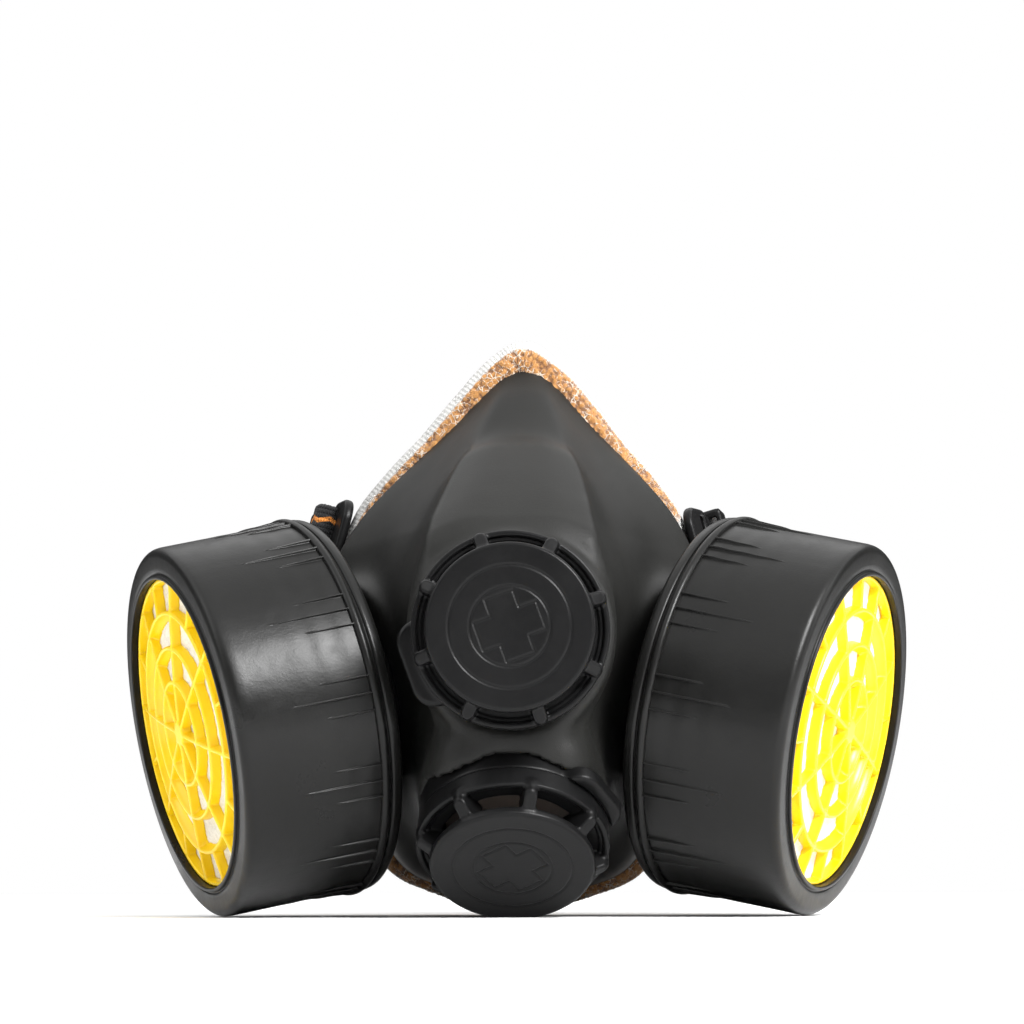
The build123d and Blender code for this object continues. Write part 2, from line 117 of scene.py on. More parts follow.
def ear_place():
    """Frame of the right strap ear: x outward, y back, z up the slot."""
    back = Vector(JOINTS["right_slider_adjust"]["axis"]).normalized()
    lean = atan2(back.z, back.x)
    up = Vector((-sin(lean), 0, cos(lean)))
    return local_frame(Vector(MOUNTS["right_strap_slot"]["pos_m"]), back.cross(up), up)


CARTRIDGE = {name: hinge_place(f"{name}_cartridge_turn") for name in SIDES}
VALVE = {name: hinge_place(f"{name}_cap_turn") for name in ("front", "chin")}
EAR = ear_place()
MASK = Matrix.Translation((0, JOINTS["right_cartridge_turn"]["pos_m"][1], 0)) @ Matrix.Scale(MM, 4)
FLIP = Matrix.Scale(-1, 4, (1, 0, 0))


def within(place, p):
    """Points of the mask's frame, in the frame of one of its parts."""
    m = place.inverted() @ MASK
    x, y, z = p
    return tuple(m[i][0] * x + m[i][1] * y + m[i][2] * z + m[i][3] for i in range(3))


def spun(p, angle):
    """Points turned back by an angle about the local axis."""
    x, y, z = p
    c, s = cos(angle), sin(angle)
    return c * x + s * y, c * y - s * x, z


# ---- Fields ----
def both(a, b, edge=0.0):
    """Where two fields overlap, with the edge between them rounded."""
    a, b = a + edge, b + edge
    outside = np.hypot(np.maximum(a, 0), np.maximum(b, 0))
    return np.minimum(np.maximum(a, b), 0) + outside - edge


def blended(a, b, soft):
    """Two fields joined with a fillet about as large as soft."""
    h = np.maximum(soft - np.abs(a - b), 0) / soft
    return np.minimum(a, b) - h * h * h * soft / 6


def joined(a, b, soft=0.5):
    return blended(a, b, soft * 2)


def without(a, b, soft=0.5):
    """The first field less the second, with a rounded edge."""
    return -blended(-a, b, soft * 2)


def slab(v, low, high):
    return np.abs(v - (low + high) / 2) - (high - low) / 2


def ring(p, outer, inner, low, high, edge=0.3):
    """A flat ring, or a disc where inner is 0."""
    r = np.hypot(p[0], p[1])
    return both(slab(r, inner, outer) if inner else r - outer, slab(p[2], low, high), edge)


def rings(p, *sizes):
    """Several flat rings as one."""
    return np.minimum.reduce([ring(p, *size) for size in sizes])


def block(p, size, centre=(0, 0, 0), edge=0.3):
    """A box with rounded edges."""
    d = [np.abs(v - c) - s / 2 + edge for v, c, s in zip(p, centre, size)]
    outside = np.sqrt(sum(np.maximum(v, 0) ** 2 for v in d))
    return outside + np.minimum(np.maximum(np.maximum(d[0], d[1]), d[2]), 0) - edge


def nearest_arm(p, count, start):
    """Distances along and across the nearest of evenly spaced radial arms."""
    x, y, z = p
    angle = np.arctan2(y, x) - start
    step = tau / count
    nearest = angle - np.round(angle / step) * step
    r = np.hypot(x, y)
    return r * np.cos(nearest), r * np.sin(nearest)


def spokes(p, count, start, inner, outer, width, low, high, edge=0.3):
    """Radial bars round the local axis."""
    size = (outer - inner, width, high - low)
    centre = ((inner + outer) / 2, 0, (low + high) / 2)
    return block((*nearest_arm(p, count, start), p[2]), size, centre, edge)


def stadium(p, reach, radius, low, high, edge=0.3):
    """A plate with round ends, along y."""
    x, y, z = p
    flat = np.hypot(x, y - np.clip(y, -reach, reach)) - radius
    return both(flat, slab(z, low, high), edge)


# ---- Meshes ----
def settled(points, field, cell):
    """Points moved onto a field's zero surface."""
    x, y, z = points.T
    h = cell * 0.15
    slope = np.stack([
        field((x + h, y, z)) - field((x - h, y, z)),
        field((x, y + h, z)) - field((x, y - h, z)),
        field((x, y, z + h)) - field((x, y, z - h)),
    ]) / (2 * h)
    steep = np.maximum((slope * slope).sum(0), 0.25)
    step = np.clip(field((x, y, z)), -cell / 2, cell / 2) / steep
    return points - (slope * step).T


def surface(field, low, high, cell, relax=0):
    """Points and quads of a field's zero surface between two corners."""
    low = np.array(low, float) - 2 * cell
    count = [ceil(v) + 1 for v in (np.array(high) + 2 * cell - low) / cell]
    x, y, z = np.ogrid[: count[0], : count[1], : count[2]]
    values = field((low[0] + cell * x, low[1] + cell * y, low[2] + cell * z))
    band = 3 * cell
    values = np.clip(np.broadcast_to(values, count), -band, band).astype(np.float32)
    grid = openvdb.FloatGrid(band)
    grid.copyFromArray(values)
    points, quads = grid.convertToQuads(0.0)
    points = low + cell * points.astype(float)
    for _ in range(3):
        points = settled(points, field, cell)
    for _ in range(relax):
        points = relaxed(points, quads, 0.5)
    return points, quads


def relaxed(points, quads, amount):
    """Each point moved towards the middle of its neighbours."""
    total, number = np.zeros_like(points), np.zeros(len(points))
    for i in range(4):
        ahead, behind = quads[:, (i + 1) % 4], quads[:, i - 1]
        for other in (ahead, behind):
            for axis in range(3):
                total[:, axis] += np.bincount(quads[:, i], points[other, axis], len(points))
        number += np.bincount(quads[:, i], minlength=len(points)) * 2
    return points + (total / np.maximum(number, 1)[:, None] - points) * amount


def placed(name, data):
    """A new object in the scene."""
    piece = bpy.data.objects.new(name, data)
    bpy.context.scene.collection.objects.link(piece)
    return piece


def make_mesh(name, points, faces, place, uv=None, marks=None):
    """A smooth mesh of quads in the scene, from points in a local frame's millimetres."""
    if place.determinant() < 0:
        faces = faces[:, ::-1]
    m = np.array(place)
    world = points @ m[:3, :3].T + m[:3, 3]
    mesh = bpy.data.meshes.new(name)
    mesh.vertices.add(len(world))
    mesh.vertices.foreach_set("co", world.astype(np.float32).ravel())
    size = faces.shape[1]
    mesh.loops.add(faces.size)
    mesh.loops.foreach_set("vertex_index", faces.astype(np.int32).ravel())
    mesh.polygons.add(len(faces))
    mesh.polygons.foreach_set("loop_start", np.arange(0, faces.size, size, dtype=np.int32))
    mesh.polygons.foreach_set("use_smooth", np.ones(len(faces), bool))
    if uv is not None:
        layer = mesh.uv_layers.new(name="run")
        layer.data.foreach_set("uv", uv[faces.ravel()].astype(np.float32).ravel())
    for mark, values in (marks or {}).items():
        attribute = mesh.attributes.new(mark, "FLOAT", "POINT")
        attribute.data.foreach_set("value", values.astype(np.float32))
    mesh.update(calc_edges=True)
    mesh.validate()
    return placed(name, mesh)


def weave_quads(rows, columns, close_rows=False, close_columns=True):
    """Quads of a grid of points, closed round either way."""
    i, j = np.meshgrid(np.arange(rows if close_rows else rows - 1),
                       np.arange(columns if close_columns else columns - 1), indexing="ij")
    a, b = i * columns + j, i * columns + (j + 1) % columns
    c, d = (i + 1) % rows * columns + (j + 1) % columns, (i + 1) % rows * columns + j
    return np.stack([a, b, c, d], -1).reshape(-1, 4)


def facing(points, quads, outward):
    """Quads turned over if their faces look against the directions given."""
    a, b, c = (points[quads[:, i]] for i in (0, 1, 2))
    return quads[:, ::-1] if (np.cross(b - a, c - a) * outward).sum() < 0 else quads


def arc(centre, radius, start, end, steps=6):
    """Points of an arc in a profile, angles in degrees."""
    angles = np.radians(np.linspace(start, end, steps))
    return [(centre[0] + radius * cos(a), centre[1] + radius * sin(a)) for a in angles]


def finer(profile, step):
    """A closed profile with extra points on its long runs."""
    points = []
    for a, b in zip(profile, profile[1:] + profile[:1]):
        pieces = max(1, round(np.hypot(b[0] - a[0], b[1] - a[1]) / step))
        points += [(a[0] + (b[0] - a[0]) * i / pieces, a[1] + (b[1] - a[1]) * i / pieces)
                   for i in range(pieces)]
    return points


def lathe(profile, angles, lift=None):
    """Points and quads of a closed profile of (radius, depth) turned about the local axis."""
    profile = np.array(profile)
    turn, r = np.meshgrid(angles, profile[:, 0])
    depth = np.repeat(profile[:, 1][:, None], len(angles), 1)
    if lift is not None:
        r = r + lift(turn, r, depth)
    points = np.stack([r * np.cos(turn), r * np.sin(turn), depth], -1).reshape(-1, 3)
    return points, weave_quads(len(profile), len(angles), close_rows=True)[:, ::-1]


def merged(*shapes):
    """Several (points, quads) as one."""
    points, quads, start = [], [], 0
    for p, q in shapes:
        points.append(p)
        quads.append(q + start)
        start += len(p)
    return np.concatenate(points), np.concatenate(quads)


# ---- Materials ----
class Shader:
    """A material being made: helpers that add nodes and link them."""

    def __init__(self, name):
        self.material = bpy.data.materials.new(name)
        self.material.use_nodes = True
        self.tree = self.material.node_tree
        self.surface = self.tree.nodes["Principled BSDF"]
        self.place = self.add("ShaderNodeTexCoord").outputs["Object"]

    def feed(self, socket, value):
        """Gives an input another node's output, or a number, vector or colour."""
        if isinstance(value, bpy.types.NodeSocket):
            self.tree.links.new(value, socket)
        else:
            socket.default_value = (*value, 1) if socket.type == "RGBA" else value

    def add(self, kind, inputs=None, **settings):
        node = self.tree.nodes.new(kind)
        for key, value in settings.items():
            setattr(node, key, value)
        for key, value in (inputs or {}).items():
            self.feed(node.inputs[key], value)
        return node

    def noise(self, scale, detail=4.0, rough=0.55, stretch=None):
        where = self.place
        if stretch:
            where = self.add("ShaderNodeMapping", {"Vector": where, "Scale": stretch}).outputs["Vector"]
        inputs = {"Vector": where, "Scale": scale, "Detail": detail, "Roughness": rough}
        return self.add("ShaderNodeTexNoise", inputs).outputs["Fac"]

    def cells(self, scale, feature="F1"):
        inputs = {"Vector": self.place, "Scale": scale}
        return self.add("ShaderNodeTexVoronoi", inputs, feature=feature).outputs["Distance"]

    def ranged(self, value, low, high, to_low=0.0, to_high=1.0):
        inputs = {"Value": value, "From Min": low, "From Max": high, "To Min": to_low, "To Max": to_high}
        return self.add("ShaderNodeMapRange", inputs).outputs["Result"]

    def math(self, operation, a, b=0.0):
        return self.add("ShaderNodeMath", {0: a, 1: b}, operation=operation).outputs[0]

    def mix(self, factor, a, b):
        return self.add("ShaderNodeMix", {6: a, 7: b, 0: factor}, data_type="RGBA").outputs[2]

    def mark(self, name):
        return self.add("ShaderNodeAttribute", attribute_name=name).outputs["Fac"]

    def bump(self, height, distance, strength=1.0, under=None):
        inputs = {"Height": height, "Distance": distance, "Strength": strength}
        if under is not None:
            inputs["Normal"] = under
        return self.add("ShaderNodeBump", inputs).outputs["Normal"]

    def finish(self, color, roughness, normal=None, **other):
        inputs = {"Base Color": color, "Roughness": roughness, **other}
        if normal is not None:
            inputs["Normal"] = normal
        for key, value in inputs.items():
            self.feed(self.surface.inputs[key.replace("_", " ")], value)
        return self.material


def rubber_black():
    """Matte moulded rubber with a fine grain and pale dust specks."""
    s = Shader("rubber_black")
    mottle = s.noise(60, 3)
    speck = s.ranged(s.cells(700), 0.05, 0.02)
    dust = s.math("MULTIPLY", speck, s.ranged(s.noise(90, 2), 0.55, 0.7))
    base = s.mix(mottle, (0.0075, 0.0075, 0.007), (0.0125, 0.0125, 0.0115))
    color = s.mix(s.math("MULTIPLY", dust, 0.3), base, (0.2, 0.2, 0.18))
    grain = s.bump(s.noise(3200, 2, 0.7), 0.00006, 0.8)
    wave = s.bump(s.noise(45, 2), 0.0006, 0.35, grain)
    roughness = s.ranged(s.noise(25, 4), 0.3, 0.7, 0.42, 0.54)
    return s.finish(color, roughness, wave, Specular_IOR_Level=0.19)


def black_plastic(name, base, low, high, grain_scale, shine):
    """Satin moulded plastic: smudged gloss, faint swirls and a fine grain."""
    s = Shader(name)
    darker = tuple(v * 0.7 for v in base)
    color = s.mix(s.noise(70, 4), darker, base)
    smudge = s.noise(38, 5, 0.62)
    scratch = s.noise(260, 3, 0.5, stretch=(1, 0.08, 1))
    roughness = s.math("ADD", s.ranged(smudge, 0.3, 0.7, low, high), s.ranged(scratch, 0.5, 0.8, 0.0, 0.07))
    grain = s.bump(s.noise(grain_scale, 2, 0.6), 0.00004, 0.5)
    wave = s.bump(s.noise(90, 3), 0.00035, 0.35, grain)
    return s.finish(color, roughness, wave, Specular_IOR_Level=shine)


def yellow_plastic():
    s = Shader("grille_plastic")
    color = s.mix(s.noise(80, 3), (0.80, 0.50, 0.001), (0.90, 0.64, 0.004))
    flow = s.bump(s.noise(300, 3), 0.00012, 0.4)
    return s.finish(color, s.ranged(s.noise(60, 4), 0.3, 0.7, 0.28, 0.42), flow, Subsurface_Weight=0.12,
                    Subsurface_Scale=0.002, Subsurface_Radius=(1.0, 0.6, 0.1))


def felt():
    s = Shader("felt")
    fibre = s.noise(900, 5, 0.75, stretch=(1, 0.25, 1))
    cross = s.noise(900, 5, 0.75, stretch=(0.25, 1, 1))
    hair = s.math("MAXIMUM", fibre, cross)
    color = s.mix(s.ranged(hair, 0.4, 0.75), (0.62, 0.6, 0.54), (0.88, 0.86, 0.81))
    return s.finish(color, 0.95, s.bump(hair, 0.0004, 0.9), Sheen_Weight=0.3)


def carbon():
    s = Shader("carbon")
    grain = s.cells(1100)
    color = s.mix(s.ranged(grain, 0.0, 0.6), (0.03, 0.03, 0.03), (0.008, 0.008, 0.008))
    return s.finish(color, s.ranged(grain, 0.0, 0.6, 0.35, 0.8), s.bump(grain, 0.0006, 0.8))


def soft_rubber(name, dark, light):
    s = Shader(name)
    color = s.mix(s.noise(140, 4), dark, light)
    return s.finish(color, s.ranged(s.noise(80, 3), 0.3, 0.7, 0.42, 0.55),
                    s.bump(s.noise(1500, 2), 0.00004, 0.5))


def seal_knit():
    """Terry knit: tan tufts with painted shade darkening the gaps between them, a net of cream threads, and a pale
    ribbed edge.
    The mesh's marks tuft, pale and rib say where."""
    s = Shader("seal_knit")
    fuzz = s.noise(2600, 4, 0.7)
    tan = s.mix(s.noise(800, 4, 0.7), (0.24, 0.09, 0.018), (0.55, 0.27, 0.07))
    # painted shade: the near-black colour in the gaps between tufts stands in for the shade in those hollows
    gap_shade = s.mix(fuzz, (0.06, 0.022, 0.006), (0.28, 0.12, 0.04))
    # how much of each point is tuft, from the tuft mark with random variation
    tuft_share = s.math("ADD", s.mark("tuft"), s.ranged(s.noise(1100, 3, 0.7), 0.3, 0.7, -0.2, 0.2))
    # tan on the tufts, going over to the painted gap shade between them
    fur = s.mix(s.ranged(tuft_share, 0.05, 0.42), gap_shade, tan)
    net = s.ranged(s.cells(820, "DISTANCE_TO_EDGE"), 0.11, 0.03)
    patchy = s.ranged(s.noise(420, 4, 0.7), 0.47, 0.58)
    threads = s.math("MULTIPLY", s.math("MULTIPLY", net, patchy), 0.85)
    body = s.mix(threads, fur, (0.64, 0.57, 0.49))
    rib = s.mix(s.ranged(s.mark("rib"), 0.2, 0.8), (0.36, 0.355, 0.34), (0.60, 0.595, 0.58))
    color = s.mix(s.mark("pale"), body, rib)
    raised = s.math("ADD", fuzz, s.math("MULTIPLY", threads, 0.6))
    return s.finish(color, 0.95, s.bump(raised, 0.0005, 0.9), Sheen_Weight=0.3, Sheen_Roughness=0.5)


def webbing():
    """Black elastic webbing with one orange zigzag line. The mesh's map gives mm along and across."""
    s = Shader("webbing")
    run = s.add("ShaderNodeUVMap", uv_map="run").outputs["UV"]
    along, across, _ = s.add("ShaderNodeSeparateXYZ", {0: run}).outputs
    zigzag_pitch, thread_pitch, cord_pitch = 4.4, 0.55, 1.1
    wave = s.math("PINGPONG", along, zigzag_pitch / 2)
    line = s.math("ADD", s.math("MULTIPLY", wave, 0.45), 5.9)
    off = s.math("ABSOLUTE", s.math("SUBTRACT", across, line))
    zigzag = s.ranged(off, 0.62, 0.42)
    thread = s.math("ABSOLUTE", s.math("SINE", s.math("MULTIPLY", along, pi / thread_pitch)))
    cord = s.math("ABSOLUTE", s.math("SINE", s.math("MULTIPLY", across, pi / cord_pitch)))
    knit = s.math("MULTIPLY", thread, cord)
    fuzz = s.noise(2200, 4, 0.7)
    black = s.mix(fuzz, (0.004, 0.004, 0.0045), (0.018, 0.018, 0.019))
    orange = s.mix(fuzz, (0.38, 0.11, 0.015), (0.72, 0.27, 0.05))
    color = s.mix(zigzag, black, orange)
    normal = s.bump(s.math("ADD", knit, s.math("MULTIPLY", fuzz, 0.4)), 0.00035, 0.9)
    return s.finish(color, 0.85, normal, Sheen_Weight=0.06, Specular_IOR_Level=0.25)


MATERIALS = {
    "rubber_black": rubber_black(),
    "cap_plastic": black_plastic("cap_plastic", (0.0055, 0.0055, 0.0057), 0.27, 0.42, 2600, 0.13),
    "drum_plastic": black_plastic("drum_plastic", (0.0075, 0.0075, 0.0072), 0.26, 0.4, 1800, 0.18),
    "grille_plastic": yellow_plastic(),
    "felt": felt(),
    "carbon": carbon(),
    "seal_knit": seal_knit(),
    "webbing": webbing(),
    "gasket_rubber": soft_rubber("gasket_rubber", (0.02, 0.02, 0.02), (0.05, 0.05, 0.05)),
    "flap_rubber": soft_rubber("flap_rubber", (0.09, 0.07, 0.06), (0.16, 0.13, 0.11)),
}
SLOT_OF = {part["node"]: part["material_slot"] for part in frame["record"]["subparts"]}
BODY_OF = {node: body for body, nodes in frame["record"]["behaviour"]["bodies"].items() for node in nodes}


def stand_in(piece, node):
    """Makes a piece the looks of a CAD node: its body, slot and material."""
    piece.data.materials.append(MATERIALS[SLOT_OF[node]])
    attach(piece, BODY_OF[node])
    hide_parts(node)
    return piece


# ---- Cartridge ----
RIB_GROUPS = 14
RIB_SPACING = radians(5)
RIB_LENGTHS = (9.5, 16.0, 9.5)
RIB_HALF = radians(0.27)
RIB_HEIGHT = 0.66


def rib_angles():
    """Angles round the drum, close together at each rib's flanks."""
    angles = []
    group_step = tau / RIB_GROUPS
    half = [0.2, 0.55, 1.0, 1.3, 1.45, 2.2, 4.0]
    for group in range(RIB_GROUPS):
        middle = group * group_step
        for i in (-1, 0, 1):
            at = middle + i * RIB_SPACING
            angles += [at + RIB_HALF * k for k in [-v for v in half[::-1]] + half]
        free = group_step - 2 * RIB_SPACING
        angles += [middle + RIB_SPACING + free * k / 10 for k in range(1, 10)]
    return np.array(angles)


def rib_lift(turn, r, depth):
    """Ribs that start at the lip and run out towards the front, and faint sink waves."""
    group_step = tau / RIB_GROUPS
    local = turn - np.round(turn / group_step) * group_step
    lift = np.zeros_like(turn)
    for i, length in zip((-1, 0, 1), RIB_LENGTHS):
        flank = np.clip(1 - np.abs(local - i * RIB_SPACING) / RIB_HALF / 1.3, 0, 1)
        run = np.clip(1 - (depth + DRUM_L) / length, 0, 1) * (depth > -DRUM_L - 0.6)
        lift += RIB_HEIGHT * np.sqrt(run) * np.clip(flank * 1.8, 0, 1)
    sunk = 0.05 * np.sin(depth * 1.15) * np.clip((-depth - 10) / 10, 0, 1) * np.abs(np.sin(turn * 3.5))
    return np.where(r > DRUM_R - 0.2, lift + sunk * (depth > -DRUM_L), 0)


def drum_shape():
    rim, bead = 1.9, 0.28    # radii
    lip_r, lip_top = WINDOW_LIP
    profile = [(OPENING_R, -FRONT_WALL), (OPENING_R, -0.6), (OPENING_R, lip_top - bead - 0.05)]
    profile += arc((OPENING_R + bead, lip_top - bead), bead, 180, 90, 5)
    profile += arc((lip_r - bead, lip_top - bead), bead, 90, 0, 5)
    profile += [(lip_r, 0.1), (lip_r + 0.03, -0.12), (lip_r + 0.3, -0.15), (lip_r + 0.5, 0.0)]
    profile += [(lip_r + 0.62, 0.05), (35.0, 0.06), (36.3, 0.05), *arc((DRUM_R - rim, -rim), rim, 92, 2, 11)]
    slope = (DRUM_REAR_R - DRUM_R) / DRUM_L
    depths = np.concatenate([np.linspace(-2.3, -10.5, 9), np.linspace(-11.5, -DRUM_L - 0.5, 34)])
    profile += [(DRUM_R + slope * -z, z) for z in depths]
    profile += [(DRUM_REAR_R, BACK_Z + 2.5), (DRUM_REAR_R - WALL, BACK_Z + 2.5), (DRUM_R - WALL, -FRONT_WALL)]
    return lathe(profile, rib_angles(), rib_lift)


def cover_shape():
    """Back cover: bead, groove, a second band that curves into the back, and the neck."""
    bead_r, bead = LIP_R - 0.9, 0.9
    front = -DRUM_L - bead
    profile = [(DRUM_REAR_R + 0.02, front - 0.6), (DRUM_REAR_R + 0.02, front + 0.4)]
    profile += arc((bead_r, front), bead, 130, -62, 12)
    profile += [(LIP_R - 0.95, front - 1.25), (LIP_R - 0.8, front - 1.45)]
    profile += arc((LIP_R - 1.1, front - 1.9), 0.6, 70, 5, 4)
    profile += [(LIP_R - 0.52, -31.1)]
    profile += arc((LIP_R - 2.2, BACK_Z + 1.6), 1.6, 0, -90, 7)
    inner = NECK_R - NECK_WALL
    profile += [(30.0, BACK_Z), (NECK_R + 1.2, BACK_Z), *arc((NECK_R + 1.2, BACK_Z - 1.2), 1.2, 90, 180, 4)]
    for i in range(4):
        z = -38.2 - i * 1.5
        profile += [(NECK_R - 0.55, z), (NECK_R, z - 0.45), (NECK_R - 0.55, z - 0.9)]
    profile += [(NECK_R - 0.3, NECK_END + 0.3), (NECK_R - 0.6, NECK_END), (inner + 0.3, NECK_END),
                (inner, NECK_END + 0.3), (inner, BACK_Z - 0.5)]
    profile += [(inner, BACK_Z + WALL), (DRUM_REAR_R, BACK_Z + WALL)]
    angles = np.linspace(0, tau, 288, endpoint=False)
    shell = lathe(finer(profile, 3.0), angles)

    def plate(p):
        x, y, z = p
        body = ring(p, inner + 0.3, 0, BACK_Z, BACK_Z + WALL, 0.1)
        holes = np.hypot(x, y) - 2.6
        for k in range(6):
            holes = np.minimum(holes, np.hypot(x - 8.5 * cos(k * pi / 3), y - 8.5 * sin(k * pi / 3)) - 2.6)
        return without(body, holes + 0 * z, 0.2)

    return merged(shell, surface(plate, (-16, -16, BACK_Z), (16, 16, BACK_Z + WALL), 0.5))


def dome(x, y):
    """Depth of the domed guard's front."""
    return GRILLE_TOP - (x * x + y * y) / (2 * GRILLE_DOME_R)


def grille_field(p):
    """Yellow guard: a domed lattice of thin deep walls, with more spokes in the outer zone."""
    x, y, z = p
    r = np.hypot(x, y)
    down = dome(x, y) - z
    draft = np.clip(down / GRILLE_T, 0, 1)
    top = 0.36    # half a wall's thickness at the front
    walls = (OPENING_R - 0.8 - r) - 0.2 * draft
    walls = np.minimum(walls, r - GRILLE_HUB_R - 0.4 * draft)
    for radius in GRILLE_RINGS:
        outer, inner = r - radius - top - 0.3 * draft, radius - top - 1.3 * draft ** 2 - r
        walls = np.minimum(walls, np.maximum(outer, inner))
    ends = [1.0, *GRILLE_RINGS, OPENING_R]
    for inner, outer, count in zip(ends, ends[1:], (8, 8, 8, 16)):
        across = np.abs(nearest_arm(p, count, GRILLE_START)[1]) - top - 0.2 * draft
        walls = blended(walls, np.maximum(across, np.maximum(inner - r, r - outer)), 0.7)
    on_rim = np.abs(r - (OPENING_R - 0.4)) <= 1
    sunk = 0.12 * ~on_rim * (r > GRILLE_HUB_R + 0.5)
    lattice = both(walls, slab(down - sunk, 0, GRILLE_T), 0.2)
    lattice = np.maximum(lattice, r - OPENING_R + 0.06)
    flange = ring(p, DRUM_R - WALL - 0.3, OPENING_R - 0.8, -4.2, -FRONT_WALL, 0.2)
    return np.minimum(lattice, np.maximum(flange, down - GRILLE_T))


def felt_shape():
    """Felt disc behind the guard, domed like it."""
    radius = DRUM_R - WALL - 0.4
    out = [radius * share for share in np.linspace(0.002, 0.985, 110)]
    front = [(r, dome(r, 0) - GRILLE_T) for r in out]
    back = [(radius, front[-1][1] - 0.5), (radius, FELT_BACK), (0.05, FELT_BACK)]
    points, quads = lathe(front + back, np.linspace(0, tau, 240, endpoint=False))
    x, y, z = points.T
    rough = np.sin(x * 2.1 + 1.3 * np.sin(y * 1.7)) * np.sin(y * 2.3 + 1.1 * np.sin(x * 1.9))
    rough += 0.6 * np.sin(x * 5.3 + 2 * np.sin(y * 4.1)) * np.sin(y * 4.7 + 2 * np.sin(x * 3.7))
    on_front = z > dome(x, y) - GRILLE_T - 0.2
    points[:, 2] = np.where(on_front, z + 0.1 * rough, z)
    return points, quads


def cartridges():
    guard = surface(grille_field, (-37, -37, -4.2), (37, 37, GRILLE_TOP), 0.31)
    shapes = (("drum", "cartridge_shell", drum_shape()), ("back_cover", "cartridge_base", cover_shape()),
              ("guard", "outer_grille", guard), ("felt_disc", "prefilter_felt", felt_shape()))
    for name in SIDES:
        for look, node, shape in shapes:
            stand_in(make_mesh(f"{name}_{look}", *shape, CARTRIDGE[name]), f"{name}_{node}")


# ---- Strap ears and keepers ----
# Neither ear sits quite true, and the webbing is bunched low in the right one.
EAR_SHIFT = {"left": (-0.9, 0.0, 0.9), "right": (0.0, 0.0, -1.6)}
EAR_TURN = {"left": radians(6), "right": radians(9)}
WEB_SHIFT = {"left": 1.9, "right": -6.0}
WEB_SHARE = {"left": 1.0, "right": 0.66}


def rounded_oblong(y, z, middle, half, corner):
    """A flat oblong with round corners."""
    d = [np.abs(v - m) - h + corner for v, m, h in zip((y, z), middle, half)]
    return np.hypot(np.maximum(d[0], 0), np.maximum(d[1], 0)) + np.minimum(np.maximum(*d), 0) - corner


def ear_field(p):
    """The strap ear: a loop with a round rim, in its own frame."""
    x, y, z = p
    middle = [sum(ends) / 2 for ends in (EAR_Y, EAR_Z)]
    half = [(high - low) / 2 for low, high in (EAR_Y, EAR_Z)]
    outline = rounded_oblong(y, z, middle, half, 5.0)
    slot = rounded_oblong(y, z, (0, 0), (SLOT_W / 2, SLOT_L / 2), 0.8)
    plate = both(both(outline, -slot, 0.3), np.abs(x) - EAR_T / 2 + 0.25, 0.6)
    rim = both(np.abs(outline + 0.9) - 0.9, np.abs(x) - EAR_T / 2, 0.75)
    return blended(plate, both(rim, -slot, 0.3), 0.5)


def bracket_field(p, name):
    """Ring behind the port's flange, its tongue and the named side's ear, in the mask's frame."""
    side = within(CARTRIDGE["right"], p)
    low, high = SIDE_WALL[1], PORT_FRONT - 2
    shape = ring(side, 23.5, PORT_R, low, high, 0.3)
    tongue = block(spun(side, radians(55)), (11, 17, high - low), (27, 0, (low + high) / 2), 0.3)
    x, y, z = (v - d for v, d in zip(within(EAR, p), EAR_SHIFT[name]))
    ear = ear_field(spun((x, y, z), -EAR_TURN[name]))
    beyond = ring(side, 60, 0, high, high + 12, 0.1)
    ear = without(ear, beyond, 0.2)
    return blended(np.minimum(shape, tongue), ear, 1.2)


def slider_field(p):
    """Keeper with a window for each layer of webbing and a bar between them."""
    x, y, z = p
    low, high = WEB_LAYER - WEB_T / 2 - 0.2, WEB_LAYER + WEB_T / 2 + 0.2
    local = (x, y - SLIDER_AT, z)
    shape = block(local, (2 * high + 2.4, SLIDER_L, WEB_W + 4.8), edge=1.0)
    for side in (-1, 1):
        window = block(local, (high - low, SLIDER_L * 2, WEB_W + 0.7), (side * (low + high) / 2, 0, 0), 0.1)
        shape = without(shape, window, 0.2)
    grip = 0.18 * np.cos(np.clip(y - SLIDER_AT, -3.6, 3.6) * tau / 1.8)
    return shape - np.where(np.abs(x) > high + 0.8, grip, 0)


def strap_hardware():
    slider = surface(slider_field, (-4, SLIDER_AT - 5, -12.5), (4, SLIDER_AT + 5, 12.5), 0.35)
    for name, place in (("left", FLIP), ("right", Matrix.Identity(4))):
        def bracket(p):
            return bracket_field(p, name)

        shape = surface(bracket, (18, 5, 30), (50, 62, 98), 0.42)
        stand_in(make_mesh(f"{name}_ear_bracket", *shape, place @ MASK), f"{name}_strap_bracket")
        stand_in(make_mesh(f"{name}_strap_keeper", *slider, place @ EAR), f"{name}_strap_slider")


# ---- Valves ----
LUGS, LUG_HALF, LUG_SLOPE = 8, 1.3, 0.65
GROOVE_DEPTH, GROOVE_HALF = 0.22, 0.32
# shares of the cover's face radius: the two turned lines, and half the plus's length and width
TURNED_LINES, PLUS = (0.725, 0.475), (0.39, 0.175)


